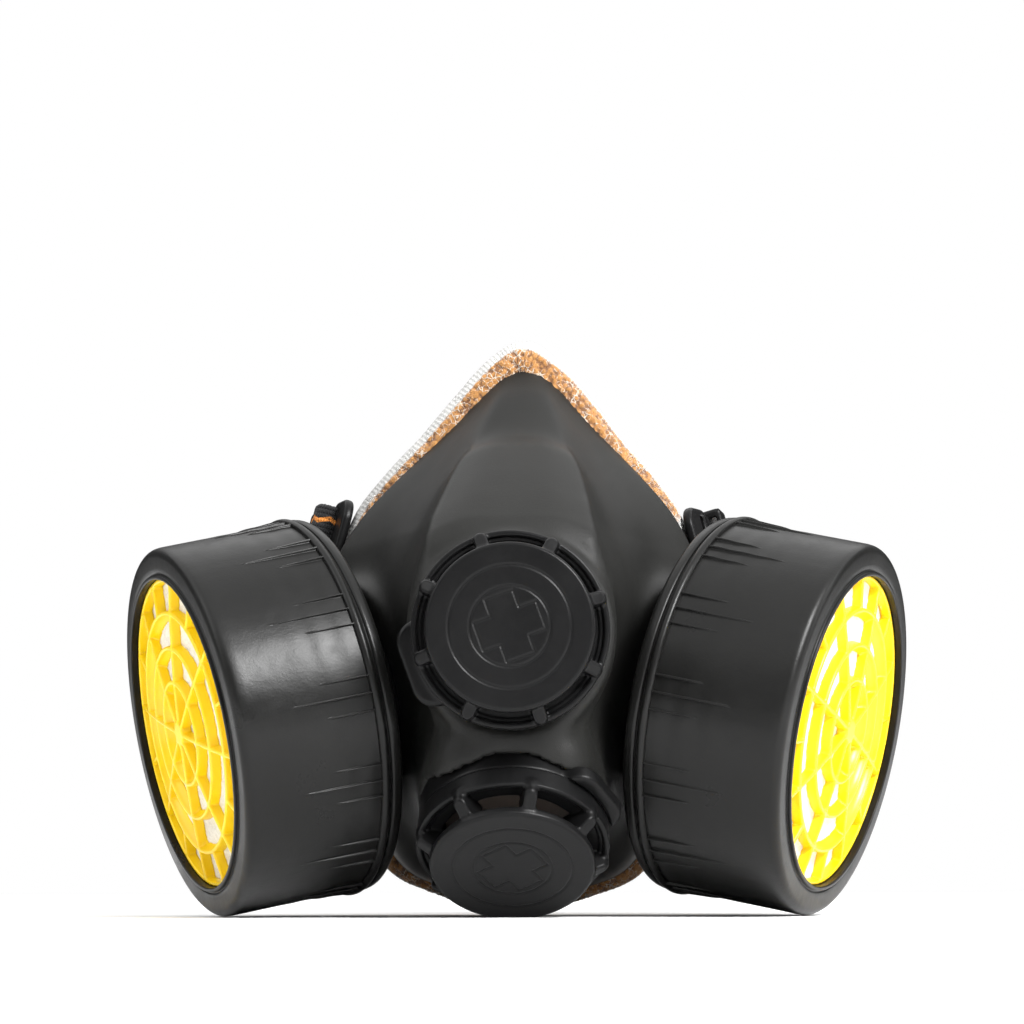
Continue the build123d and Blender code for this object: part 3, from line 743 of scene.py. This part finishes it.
def cap_field(p, lugs_at):
    """Twist-on cover with lugs, two turned lines and a plus outline."""
    x, y, z = p
    r = np.hypot(x, y)
    shape = rings(
        p,
        (CAP_FLANGE_R, SPIGOT_R + 0.05, COLLAR[1], 0.8, 0.35),
        (CAP_FLANGE_R, 14.5, -0.4, 0.4, 0.2),
        (CAP_FLANGE_R, CAP_FLANGE_R - 1.2, 0, 1.5, 0.35),
    )
    along, across = nearest_arm(p, LUGS, lugs_at)
    end = np.hypot(along - np.clip(along, 13, CAP_FLANGE_R - 1.1), across) - LUG_HALF
    slope = LUG_SLOPE * np.clip(along - CAP_FACE_R + 0.8, 0, 4)
    lug = both(end + 0 * z, np.abs(z - 2.8 + slope / 2) - 2.9 + slope / 2, 0.6)
    shape = blended(shape, lug, 1.0)
    shape = blended(shape, ring(p, CAP_FACE_R, 0, CAP_TOP - 2.2, CAP_TOP, 0.75), 1.2)
    turned = np.minimum(*(np.abs(r - share * CAP_FACE_R) for share in TURNED_LINES))
    arm, half = (share * CAP_FACE_R for share in PLUS)
    ax, ay = (np.abs(v) for v in spun(p, lugs_at + radians(1))[:2])
    plus = np.abs(np.minimum(np.maximum(ax - arm, ay - half), np.maximum(ax - half, ay - arm)))
    lines = np.minimum(turned, plus)
    groove = GROOVE_DEPTH * np.clip(1 - (lines / GROOVE_HALF) ** 2, 0, 1) ** 2
    return shape + np.where(z > CAP_TOP - 0.8, groove, 0)


def seat_field(p, tab_at, reach, raised):
    """Seat under a cover: collar, spigot, spider and inner flange, with a finger tab."""
    plate = COLLAR[0] + 2
    shape = rings(
        p,
        (COLLAR_R, 15, *COLLAR, 0.6),
        (SPIGOT_R, 15, COLLAR[1] - 1, -0.5, 0.3),
        (COLLAR_R, SEAT_BORE_R, COLLAR[0], plate, 0.3),
        (SEAT_BORE_R + 1.3, SEAT_BORE_R, plate - 1, plate + 1, 0.3),
        (SEAT_NECK_R, SEAT_BORE_R, BOSS_WALL[0] - 2, COLLAR[0] + 1, 0.1),
        (15.8, SEAT_BORE_R, BOSS_WALL[0] - 2, BOSS_WALL[0], 0.4),
    )
    shape = blended(shape, spokes(p, 3, pi / 6, 2.8, 12.4, 2.0, COLLAR[0], plate, 0.4), 0.8)
    shape = blended(shape, ring(p, 3.2, 1.55, COLLAR[0], plate, 0.3), 0.6)
    x, y, z = spun(p, tab_at)
    tab = stadium((x - COLLAR_R + 1.5, y, z - raised), reach, 4.5, COLLAR[1] - 4.0, COLLAR[1] - 0.6, 0.9)
    tab = both(tab, COLLAR_R - 2 - np.hypot(x, y))
    tab = without(tab, ring(p, CAP_FLANGE_R + 0.4, 0, COLLAR[1], 3, 0.1), 0.1)
    return blended(shape, tab, 1.6)


def valves():
    # angles of the lugs and of the tab, the tab's half length, and how far it is raised
    places = {"front": (18.5, 200, 4.2, 0.0), "chin": (33, 30, 3.9, 1.4)}
    for name, (lugs_at, tab_at, reach, raised) in places.items():
        def cap(p):
            return cap_field(p, radians(lugs_at))

        def seat(p):
            return seat_field(p, radians(tab_at), reach, raised)

        shape = surface(cap, (-19.6, -19.6, -3), (19.6, 19.6, CAP_TOP), 0.25)
        stand_in(make_mesh(f"{name}_cover", *shape, VALVE[name]), f"{name}_valve_cap")
        shape = surface(seat, (-23.5, -23.5, -15), (23.5, 23.5, 0), 0.42)
        stand_in(make_mesh(f"{name}_seat", *shape, VALVE[name]), f"{name}_valve_seat")


# ---- Facepiece ----
BRIDGE_SIZE, BRIDGE_AT = (30, 14, 12.4), (0, -20.8, 29.8)    # rubber between the two valve bosses


def cubic(t, a, b, slope_a, slope_b):
    """A curve from a to b with the given slopes at its ends."""
    return ((2 * t**3 - 3 * t**2 + 1) * a + (t**3 - 2 * t**2 + t) * slope_a
            + (3 * t**2 - 2 * t**3) * b + (t**3 - t**2) * slope_b)


def smooth_line(points, steps, creases=()):
    """A curve through a closed run of points, with the same number of steps between each two.
    creases are the points where it turns sharply, and how much of the curve's swing they keep."""
    p = np.array(points, float)
    slope = (np.roll(p, -1, 0) - np.roll(p, 1, 0)) / 2
    for i, kept in creases:
        slope[i] *= kept
    t = np.linspace(0, 1, steps, endpoint=False)[:, None]
    runs = []
    for i in range(len(p)):
        after = (i + 1) % len(p)
        runs.append(cubic(t, p[i], p[after], slope[i], slope[after]))
    return np.concatenate(runs)


def mirrored(half):
    return half + [(-x, z) for x, z in reversed(half[1:-1])]


def outline_at(y):
    """The facepiece's half outline at any station, smoothly between the given ones."""
    stations = sorted(FACE_SECTIONS)
    y = min(max(y, stations[0]), stations[-1])
    i = min(np.searchsorted(stations, y, side="right") - 1, len(stations) - 2)
    a, b = stations[i], stations[i + 1]
    lines = {k: np.array(FACE_SECTIONS[k], float) for k in stations}
    before = lines[stations[max(i - 1, 0)]], stations[max(i - 1, 0)]
    after = lines[stations[min(i + 2, len(stations) - 1)]], stations[min(i + 2, len(stations) - 1)]
    slope_a = (lines[b] - before[0]) / (b - before[1])
    slope_b = (after[0] - lines[a]) / (after[1] - a)
    return cubic((y - a) / (b - a), lines[a], lines[b], (b - a) * slope_a, (b - a) * slope_b)


def distance_to_outline(x, z, outline):
    """Signed distance in the plane, for x of 0 and up, to a closed symmetric outline."""
    a, b = outline, np.roll(outline, -1, axis=0)
    keep = (a[:, 0] > -6) | (b[:, 0] > -6)
    a, b = a[keep], b[keep]
    best = np.full(np.broadcast(x, z).shape, 1e9)
    crossings = np.zeros(best.shape, int)
    for (ax, az), (bx, bz) in zip(a, b):
        dx, dz = bx - ax, bz - az
        t = np.clip(((x - ax) * dx + (z - az) * dz) / (dx * dx + dz * dz), 0, 1)
        best = np.minimum(best, (x - ax - t * dx) ** 2 + (z - az - t * dz) ** 2)
        if dz:
            hit = ((az > z) != (bz > z)) & (x < ax + (z - az) * dx / dz)
            crossings += hit
    return np.where(crossings % 2 == 1, -1, 1) * np.sqrt(best)


def sampled(volume, low, cell):
    """A field read between the points of a volume, the same on both sides of the mask."""
    top = np.array(volume.shape) - 1.001

    def field(p):
        x, y, z = p
        place = [np.clip((v - l) / cell, 0, t) for v, l, t in zip((np.abs(x), y, z), low, top)]
        base = [np.floor(v).astype(int) for v in place]
        share = [v - b for v, b in zip(place, base)]
        total = 0
        for i in (0, 1):
            for j in (0, 1):
                for k in (0, 1):
                    weight = ((share[0] if i else 1 - share[0]) * (share[1] if j else 1 - share[1])
                              * (share[2] if k else 1 - share[2]))
                    total = total + weight * volume[base[0] + i, base[1] + j, base[2] + k]
        return total

    return field


def sheared(x, z):
    """Where x was before the nose end's lean."""
    return x - LEAN * np.clip((z - LEAN_FROM) / LEAN_OVER, 0, 1.1) ** 0.8


def body_field():
    """Distance to the facepiece's outer surface, from its sections."""
    cell, low, high = 1.25, (0.0, -36.0, -4.0), (50.0, 62.0, 132.0)
    x, y, z = [np.arange(a, b, cell) for a, b in zip(low, high)]
    slices = []
    for station in y:
        half = [tuple(v) for v in outline_at(station)]
        kept = min(max((station - 4) / 14, 0.15), 1)
        outline = smooth_line(mirrored(half), 8, [(2, kept), (len(half) * 2 - 4, kept)])
        slices.append(distance_to_outline(x[:, None], z[None, :], outline))
    volume = np.stack(slices, 1)
    slopes = np.gradient(volume, cell)
    steep = np.sqrt(sum(s * s for s in slopes))
    return sampled(volume / np.clip(steep, 0.8, 2.5), low, cell)


def column_field(p, grown):
    """The wearer's face as a leaning oval column, grown forward."""
    x, y, z = p
    width, depth = FACE_OVAL[0] + grown, FACE_OVAL[1] + grown
    back = (y - FACE_AT_CHIN - FACE_OVAL[1]) * cos(FACE_LEAN) + z * sin(FACE_LEAN)
    share = np.sqrt((x / width) ** 2 + (back / depth) ** 2)
    return (share - 1) * (width + depth) / 2


def facepiece():
    """Moulded rubber half mask with bosses for the ports and valves."""
    body = body_field()
    nose = -26.0

    def field(p):
        x, y, z = p
        sides = [within(CARTRIDGE[name], p) for name in SIDES]
        front, chin = within(VALVE["front"], p), within(VALVE["chin"], p)
        plain = body((sheared(x, z), y, z))
        shape = both(plain, nose - y, 2.0)
        for place in sides:
            shape = joined(shape, ring(place, SIDE_BOSS_R, 0, -62, SIDE_WALL[1], 1.0), 3.0)
        hollow = both(plain + FACE_WALL, nose + FACE_WALL - y, 2.0)
        for place in sides:
            shape = without(shape, ring(place, SIDE_FLAT_R, 0, SIDE_WALL[1], 20, 1.0), 0.8)
            hollow = without(hollow, ring(place, SIDE_FLAT_R + 3, 0, SIDE_WALL[0], 20, 1.0), 0.8)
        shape = joined(shape, ring(front, BOSS_R, 0, BOSS_WALL[1] - 9, BOSS_WALL[1], 1.3), 2.6)
        shape = joined(shape, ring(chin, COLLAR_R + 0.4, 0, BOSS_WALL[1] - 14, BOSS_WALL[1], 1.0), 4.0)
        shape = joined(shape, block(p, BRIDGE_SIZE, BRIDGE_AT, 6.1), 5.0)
        for place in (front, chin):
            shape = without(shape, ring(place, COLLAR_R + 0.2, 0, BOSS_WALL[1], 12, 0.1), 0.3)
        shape = without(shape, ring(chin, CAP_FLANGE_R + 0.8, 0, COLLAR[1] - 0.6, 12, 0.1), 0.6)
        shape = without(shape, hollow, 0.6)
        for place in sides:
            shape = without(shape, ring(place, NUT_R + 0.4, 0, SIDE_WALL[0] - 20, SIDE_WALL[0], 0.3), 0.3)
            shape = without(shape, ring(place, PORT_R, 0, SIDE_WALL[0] - 2, SIDE_WALL[1] + 2, 0.1), 0.2)
        for place in (front, chin):
            shape = without(shape, ring(place, 17, 0, BOSS_WALL[0] - 9, BOSS_WALL[0], 0.3), 0.3)
            shape = without(shape, ring(place, SEAT_NECK_R, 0, BOSS_WALL[0] - 2, BOSS_WALL[1] + 2, 0.1), 0.2)
        return without(shape, column_field(p, RIM_FRONT), 0.8)

    points, quads = surface(field, (-46, -30, 0), (46, 42, 125), 0.8, relax=2)
    stand_in(make_mesh("facepiece_rubber", points, quads, MASK), "facepiece")


# ---- Face seal ----
def evenly(points, count, closed=True):
    """Points spaced evenly along a run of points."""
    ends = np.concatenate([points, points[:1]]) if closed else points
    lengths = np.linalg.norm(np.diff(ends, axis=0), axis=1)
    at = np.concatenate([[0], np.cumsum(lengths)])
    where = np.linspace(0, at[-1], count, endpoint=not closed)
    return np.stack([np.interp(where, at, ends[:, i]) for i in range(ends.shape[1])], 1), at[-1]


def unit(v):
    return v / np.maximum(np.linalg.norm(v, axis=-1, keepdims=True), 1e-9)


def column_front(x, z, grown):
    """Depth y of the face column's front at a place across the mask."""
    width, depth = FACE_OVAL[0] + grown, FACE_OVAL[1] + grown
    back = -depth * np.sqrt(np.maximum(1 - (x / width) ** 2, 0.02))
    return FACE_AT_CHIN + FACE_OVAL[1] + (back - z * sin(FACE_LEAN)) / cos(FACE_LEAN)


TUFT_PITCH = 1.3
TUFT_SIZES = (0.45, 0.8, 1.0, 1.25)
TUFT_HEIGHT, EDGE_HEIGHT = 0.6, 0.3
FLEECE_AT = (38.4, 86.3)    # a worn spot where the pale backing shows


def seal_section(across):
    """The band's corner-rounded section: s runs outward from its outer edge, t forward from the face."""
    width, depth, corner = SEAL_BAND, SEAL_FRONT, 3.6
    loop = []
    for cx, cy, start in ((width - corner, depth - corner, 90), (width - corner, corner, 0),
                          (corner, corner, -90), (corner, depth - corner, -180)):
        loop += arc((cx, cy), corner, start, start - 90, 14)
    section, around = evenly(np.array(loop), across)
    return section[:, 0][None, :] - width, section[:, 1][None, :], around


def tuft_cover(count, across, length, around):
    """How deep in a tuft each point of the seal's grid is, from 0 between tufts to 1."""
    random = np.random.default_rng(5)
    du, dv = length / count, around / across
    rows, per_row = int(around / TUFT_PITCH), int(length / TUFT_PITCH)
    reach_u, reach_v = int(1.3 / du) + 1, int(1.3 / dv) + 1
    nearest = np.full((count, across), 9.0)
    for row in range(rows):
        for k in range(per_row):
            cu = (k + 0.5 * (row % 2)) * TUFT_PITCH + random.normal(0, 0.28)
            cv = (row + 0.5) * around / rows + random.normal(0, 0.22)
            size = random.choice(TUFT_SIZES)
            ii = np.arange(-reach_u, reach_u + 1) + int(cu / du)
            jj = np.arange(-reach_v, reach_v + 1) + int(cv / dv)
            d = np.hypot((ii * du - cu)[:, None], (jj * dv - cv)[None, :]) / size
            spot = np.ix_(ii % count, jj % across)
            nearest[spot] = np.minimum(nearest[spot], d)
    return np.clip(1 - nearest / 0.85, 0, 1)


def seal_shape():
    """Terry-covered ring: points, quads and the marks its material reads."""
    count, across = 960, 104
    line, length = evenly(smooth_line(mirrored(SEAL_OUTLINE), 24), count)
    line = np.roll(line, count // 2, 0)
    ahead = unit(np.roll(line, -2, 0) - np.roll(line, 2, 0))
    outward = np.stack([-ahead[:, 1], ahead[:, 0]], 1)
    if (outward * (line - line.mean(0))).sum() < 0:
        outward = -outward
    s, t, around = seal_section(across)
    x = line[:, 0][:, None] + outward[:, 0][:, None] * s
    z = line[:, 1][:, None] + outward[:, 1][:, None] * s
    y = column_front(x, z, t)
    towards_right = 0.5 + 0.5 * np.tanh(x / 6)
    lean = x - sheared(x, z) - 1.2 * towards_right * np.clip((z - 72) / 20, 0, 1)
    points = np.stack([x + lean, y, z], -1)
    normal = unit(np.cross(np.roll(points, -1, 0) - np.roll(points, 1, 0),
                           np.roll(points, -1, 1) - np.roll(points, 1, 1)))
    if ((points - points.mean(1, keepdims=True)) * normal).sum() < 0:
        normal = -normal
    u = np.arange(count)[:, None] * length / count
    tuft = tuft_cover(count, across, length, around)
    strip = (1.65 - 0.85 * np.tanh((x - 9) / 4)) * np.clip((z - 30) / 30, 0.15, 1)
    pale = np.clip((s + strip) / 0.3, 0, 1) * np.clip(t - 4.5, 0, 1)
    rib = 0.5 + 0.5 * np.sin(u * tau + 0 * s)
    height = TUFT_HEIGHT * np.sqrt(tuft) * (1 - pale) + (EDGE_HEIGHT + 0.02 * rib) * pale
    sway = 0.25 * np.sin(u * tau / 31) + 0.18 * np.sin(u * tau / 13 + 1)
    points = (points + normal * (height - 0.35 + 0.25 * sway)[..., None]).reshape(-1, 3)
    off = np.hypot(x - FLEECE_AT[0], z - FLEECE_AT[1])
    fleece = np.clip(1.8 - off / 1.6, 0, 1) * np.clip((t - 8) / 2, 0, 1)
    marks = {"tuft": tuft, "pale": np.maximum(pale, fleece), "rib": np.maximum(rib, fleece)}
    quads = weave_quads(count, across, close_rows=True)
    quads = facing(points, quads, normal.reshape(-1, 3)[quads[:, 0]])
    return points, quads, {k: m.ravel() for k, m in marks.items()}


def face_seal():
    points, quads, marks = seal_shape()
    piece = stand_in(make_mesh("seal_ring", points, quads, MASK, marks=marks), "face_seal")


# ---- Head strap ----
def rounded_route(corners, radii, step=0.4):
    """A flat run of points with its corners turned to arcs."""
    corners = [Vector(c) for c in corners]
    points = [corners[0]]
    for before, here, after, radius in zip(corners, corners[1:], corners[2:], radii):
        a, b = (before - here).normalized(), (after - here).normalized()
        half = a.angle(b) / 2
        reach = radius / np.tan(half)
        centre = here + (a + b).normalized() * (radius / sin(half))
        start, end = here + a * reach - centre, here + b * reach - centre
        turn = start.angle_signed(end)
        steps = max(3, ceil(abs(turn) * radius / step))
        points += [centre + Matrix.Rotation(-turn * i / steps, 2) @ start for i in range(steps + 1)]
    return points + [corners[-1]]


def webbing_route():
    """The whole strap's middle line, each point with the direction of its width, in the mask's frame."""
    layer, behind = WEB_LAYER, SLIDER_AT + 2 * SLIDER_L
    corners = {
        "left": ([(-layer, behind - 6), (-layer, 9), (-2.3, 0), (4.6, 0), (4.4, 6), (layer, 13),
                  (layer, behind)], (6, 1.3, 2.0, 3, 8)),
        "right": ([(-layer, behind - 6), (-layer, 9), (-2.2, 0), (2.2, 0), (2.2, 7), (layer, 13),
                   (layer, behind)], (6, 1.2, 1.2, 8, 8)),
    }
    to_mask = MASK.inverted() @ EAR
    ends, shares = {}, {}
    for name, (stops, radii) in corners.items():
        ends[name], shares[name] = [], []
        for p in rounded_route(stops, radii):
            near = min(max((16 - p.y) / 9, 0), 1)
            turn = EAR_TURN[name] * near
            x = p.x * cos(turn) + p.y * sin(turn) + EAR_SHIFT[name][0] * near
            y = p.y * cos(turn) - p.x * sin(turn)
            ends[name].append(to_mask @ Vector((x, y, WEB_SHIFT[name] * near)))
            shares[name].append(1 - (1 - WEB_SHARE[name]) * near)
    loop = ends["right"]
    start = loop[-1]
    back, up = (to_mask.to_3x3().col[i].normalized() for i in (1, 2))
    stops = [start] + [Vector(p) for p in (*STRAP_LINE, STRAP_BACK)]
    stops += [FLIP @ p for p in reversed(stops[:-1])]
    slopes = [back]
    for a, b, c in zip(stops, stops[1:], stops[2:]):
        slopes.append((c - a) / ((c - b).length + (b - a).length))
    slopes += [Vector((back.x, -back.y, -back.z))]
    free = []
    for a, b, sa, sb in zip(stops, stops[1:], slopes, slopes[1:]):
        run = (b - a).length
        free += [cubic(i / 40, a, b, run * sa, run * sb) for i in range(40)]
    leans = [up.x * p.x / start.x for p in free]
    middle = [Vector((lean, 0, np.sqrt(1 - lean ** 2))) for lean in leans]
    other = [FLIP @ p for p in reversed(ends["left"])]
    line = loop[:-1] + free + other
    widths = [up] * (len(loop) - 1) + middle + [FLIP @ up] * len(other)
    share = shares["right"][:-1] + [1.0] * len(free) + shares["left"][::-1]
    return np.array(line), np.array(widths), np.array(share)[:, None]


def strap_shape():
    """The webbing as a soft-edged ribbon, with a map in mm along and across."""
    line, widths, share = webbing_route()
    both_ends = np.concatenate([line, widths, share], 1)
    lengths = np.concatenate([[0], np.cumsum(np.linalg.norm(np.diff(line, axis=0), axis=1))])
    count = int(lengths[-1] / 0.45)
    where = np.linspace(0, lengths[-1], count)
    run = np.stack([np.interp(where, lengths, both_ends[:, i]) for i in range(7)], 1)
    line, widths = run[:, :3], unit(run[:, 3:6])
    ahead = unit(np.gradient(line, axis=0))
    thick = unit(np.cross(widths, ahead))
    half_w, half_t = WEB_W / 2, WEB_T / 2
    flat_w = half_w - 0.7
    top = [(w, half_t) for w in np.linspace(-flat_w, flat_w, 45)]
    top += [(flat_w + 0.7 * cos(a), half_t * sin(a)) for a in (pi / 3, pi / 6, 0, -pi / 6, -pi / 3)]
    section = np.array(top + [(-w, -t) for w, t in top])
    w, t = section[:, 0][None, :], section[:, 1][None, :]
    u = where[:, None]
    relief = 0.07 * np.cos(w * tau / 1.1) * np.cos(u * tau / 1.1) * (np.abs(w) < half_w - 0.8)
    frill = 0.08 * np.sin(u * tau / 1.1) * np.clip((np.abs(w) - 9.0) / 1.0, 0, 1)
    w = w * (1 + frill / half_w) * run[:, 6:]
    t = t + np.sign(t) * (relief - 0.07)
    points = line[:, None, :] + widths[:, None, :] * w[..., None] + thick[:, None, :] * t[..., None]
    columns = len(section)
    quads = weave_quads(count, columns)
    mapping = np.stack([np.broadcast_to(u, w.shape), w], -1).reshape(-1, 2)
    points = points.reshape(-1, 3)
    outward = (points - np.repeat(line, columns, 0))[quads[:, 0]]
    return points, facing(points, quads, outward), mapping, columns


def close_ends(piece, columns):
    """Flat ends on a tube of sections."""
    mesh = bmesh.new()
    mesh.from_mesh(piece.data)
    mesh.edges.ensure_lookup_table()
    bmesh.ops.holes_fill(mesh, edges=[e for e in mesh.edges if e.is_boundary], sides=columns + 1)
    bmesh.ops.recalc_face_normals(mesh, faces=mesh.faces)
    mesh.to_mesh(piece.data)
    mesh.free()


def head_strap():
    points, quads, mapping, columns = strap_shape()
    piece = make_mesh("strap_webbing", points, quads, MASK, uv=mapping)
    close_ends(piece, columns)
    stand_in(piece, "head_strap")


# ---- Everything ----
def paint_cad():
    """Materials for the CAD nodes that keep their own shape."""
    for node, piece in frame["nodes"].items():
        piece.data.materials.clear()
        piece.data.materials.append(MATERIALS[SLOT_OF[node]])


def lamp(name, data, spot, towards=(0, -0.06, 0.05)):
    piece = placed(name, data)
    piece.location = spot
    piece.rotation_euler = (Vector(towards) - Vector(spot)).to_track_quat("-Z", "Y").to_euler()


def soft_box(name, spot, size, power):
    data = bpy.data.lights.new(name, "AREA")
    data.shape = "RECTANGLE"
    data.size, data.size_y = size
    data.energy = power
    lamp(name, data, spot)


def studio():
    """Pale floor, white surroundings, three soft boxes and a broad light from above."""
    scene = bpy.context.scene
    scene.view_settings.view_transform = "Standard"
    world = bpy.data.worlds.new("studio")
    world.use_nodes = True
    nodes, links = world.node_tree.nodes, world.node_tree.links
    seen = nodes.new("ShaderNodeLightPath").outputs["Is Camera Ray"]
    strength = nodes.new("ShaderNodeMapRange")
    strength.inputs["To Min"].default_value = 0.1
    strength.inputs["To Max"].default_value = 1.0
    links.new(seen, strength.inputs["Value"])
    links.new(strength.outputs["Result"], nodes["Background"].inputs["Strength"])
    nodes["Background"].inputs["Color"].default_value = (1, 1, 1, 1)
    scene.world = world
    bpy.ops.mesh.primitive_circle_add(vertices=96, radius=4, fill_type="NGON", location=(0, 0, -0.0002))
    floor = bpy.context.object
    floor.name = "floor"
    s = Shader("floor")
    floor.data.materials.append(s.finish((0.95, 0.95, 0.95), 0.9))
    sun = bpy.data.lights.new("overhead", "SUN")
    sun.energy, sun.angle = 3.5, radians(120)
    lamp("overhead", sun, (0, -0.1, 1))
    soft_box("key", (0.51, -0.71, 0.61), (0.32, 0.32), 20)
    soft_box("fill", (-0.75, -0.45, 0.5), (0.3, 0.5), 2)
    soft_box("side", (0.9, -0.1, 0.35), (0.25, 0.5), 1.6)


def camera():
    azimuth, elevation, roll = radians(-0.97), radians(-9.78), radians(-0.15)
    forward = Vector((sin(azimuth) * cos(elevation), cos(azimuth) * cos(elevation), -sin(elevation)))
    right = forward.cross(Vector((0, 0, 1))).normalized()
    up = right.cross(forward)
    right, up = right * cos(roll) + up * sin(roll), up * cos(roll) - right * sin(roll)
    data = bpy.data.cameras.new("camera")
    data.sensor_width = 36
    data.lens = 77.34
    data.clip_start = 0.01
    eye = placed("camera", data)
    eye.matrix_world = Matrix((right, up, -forward)).transposed().to_4x4()
    eye.location = (0.0075, -0.5221, 0.005)
    bpy.context.scene.camera = eye


camera()
studio()
paint_cad()
cartridges()
strap_hardware()
valves()
facepiece()
face_seal()
head_strap()
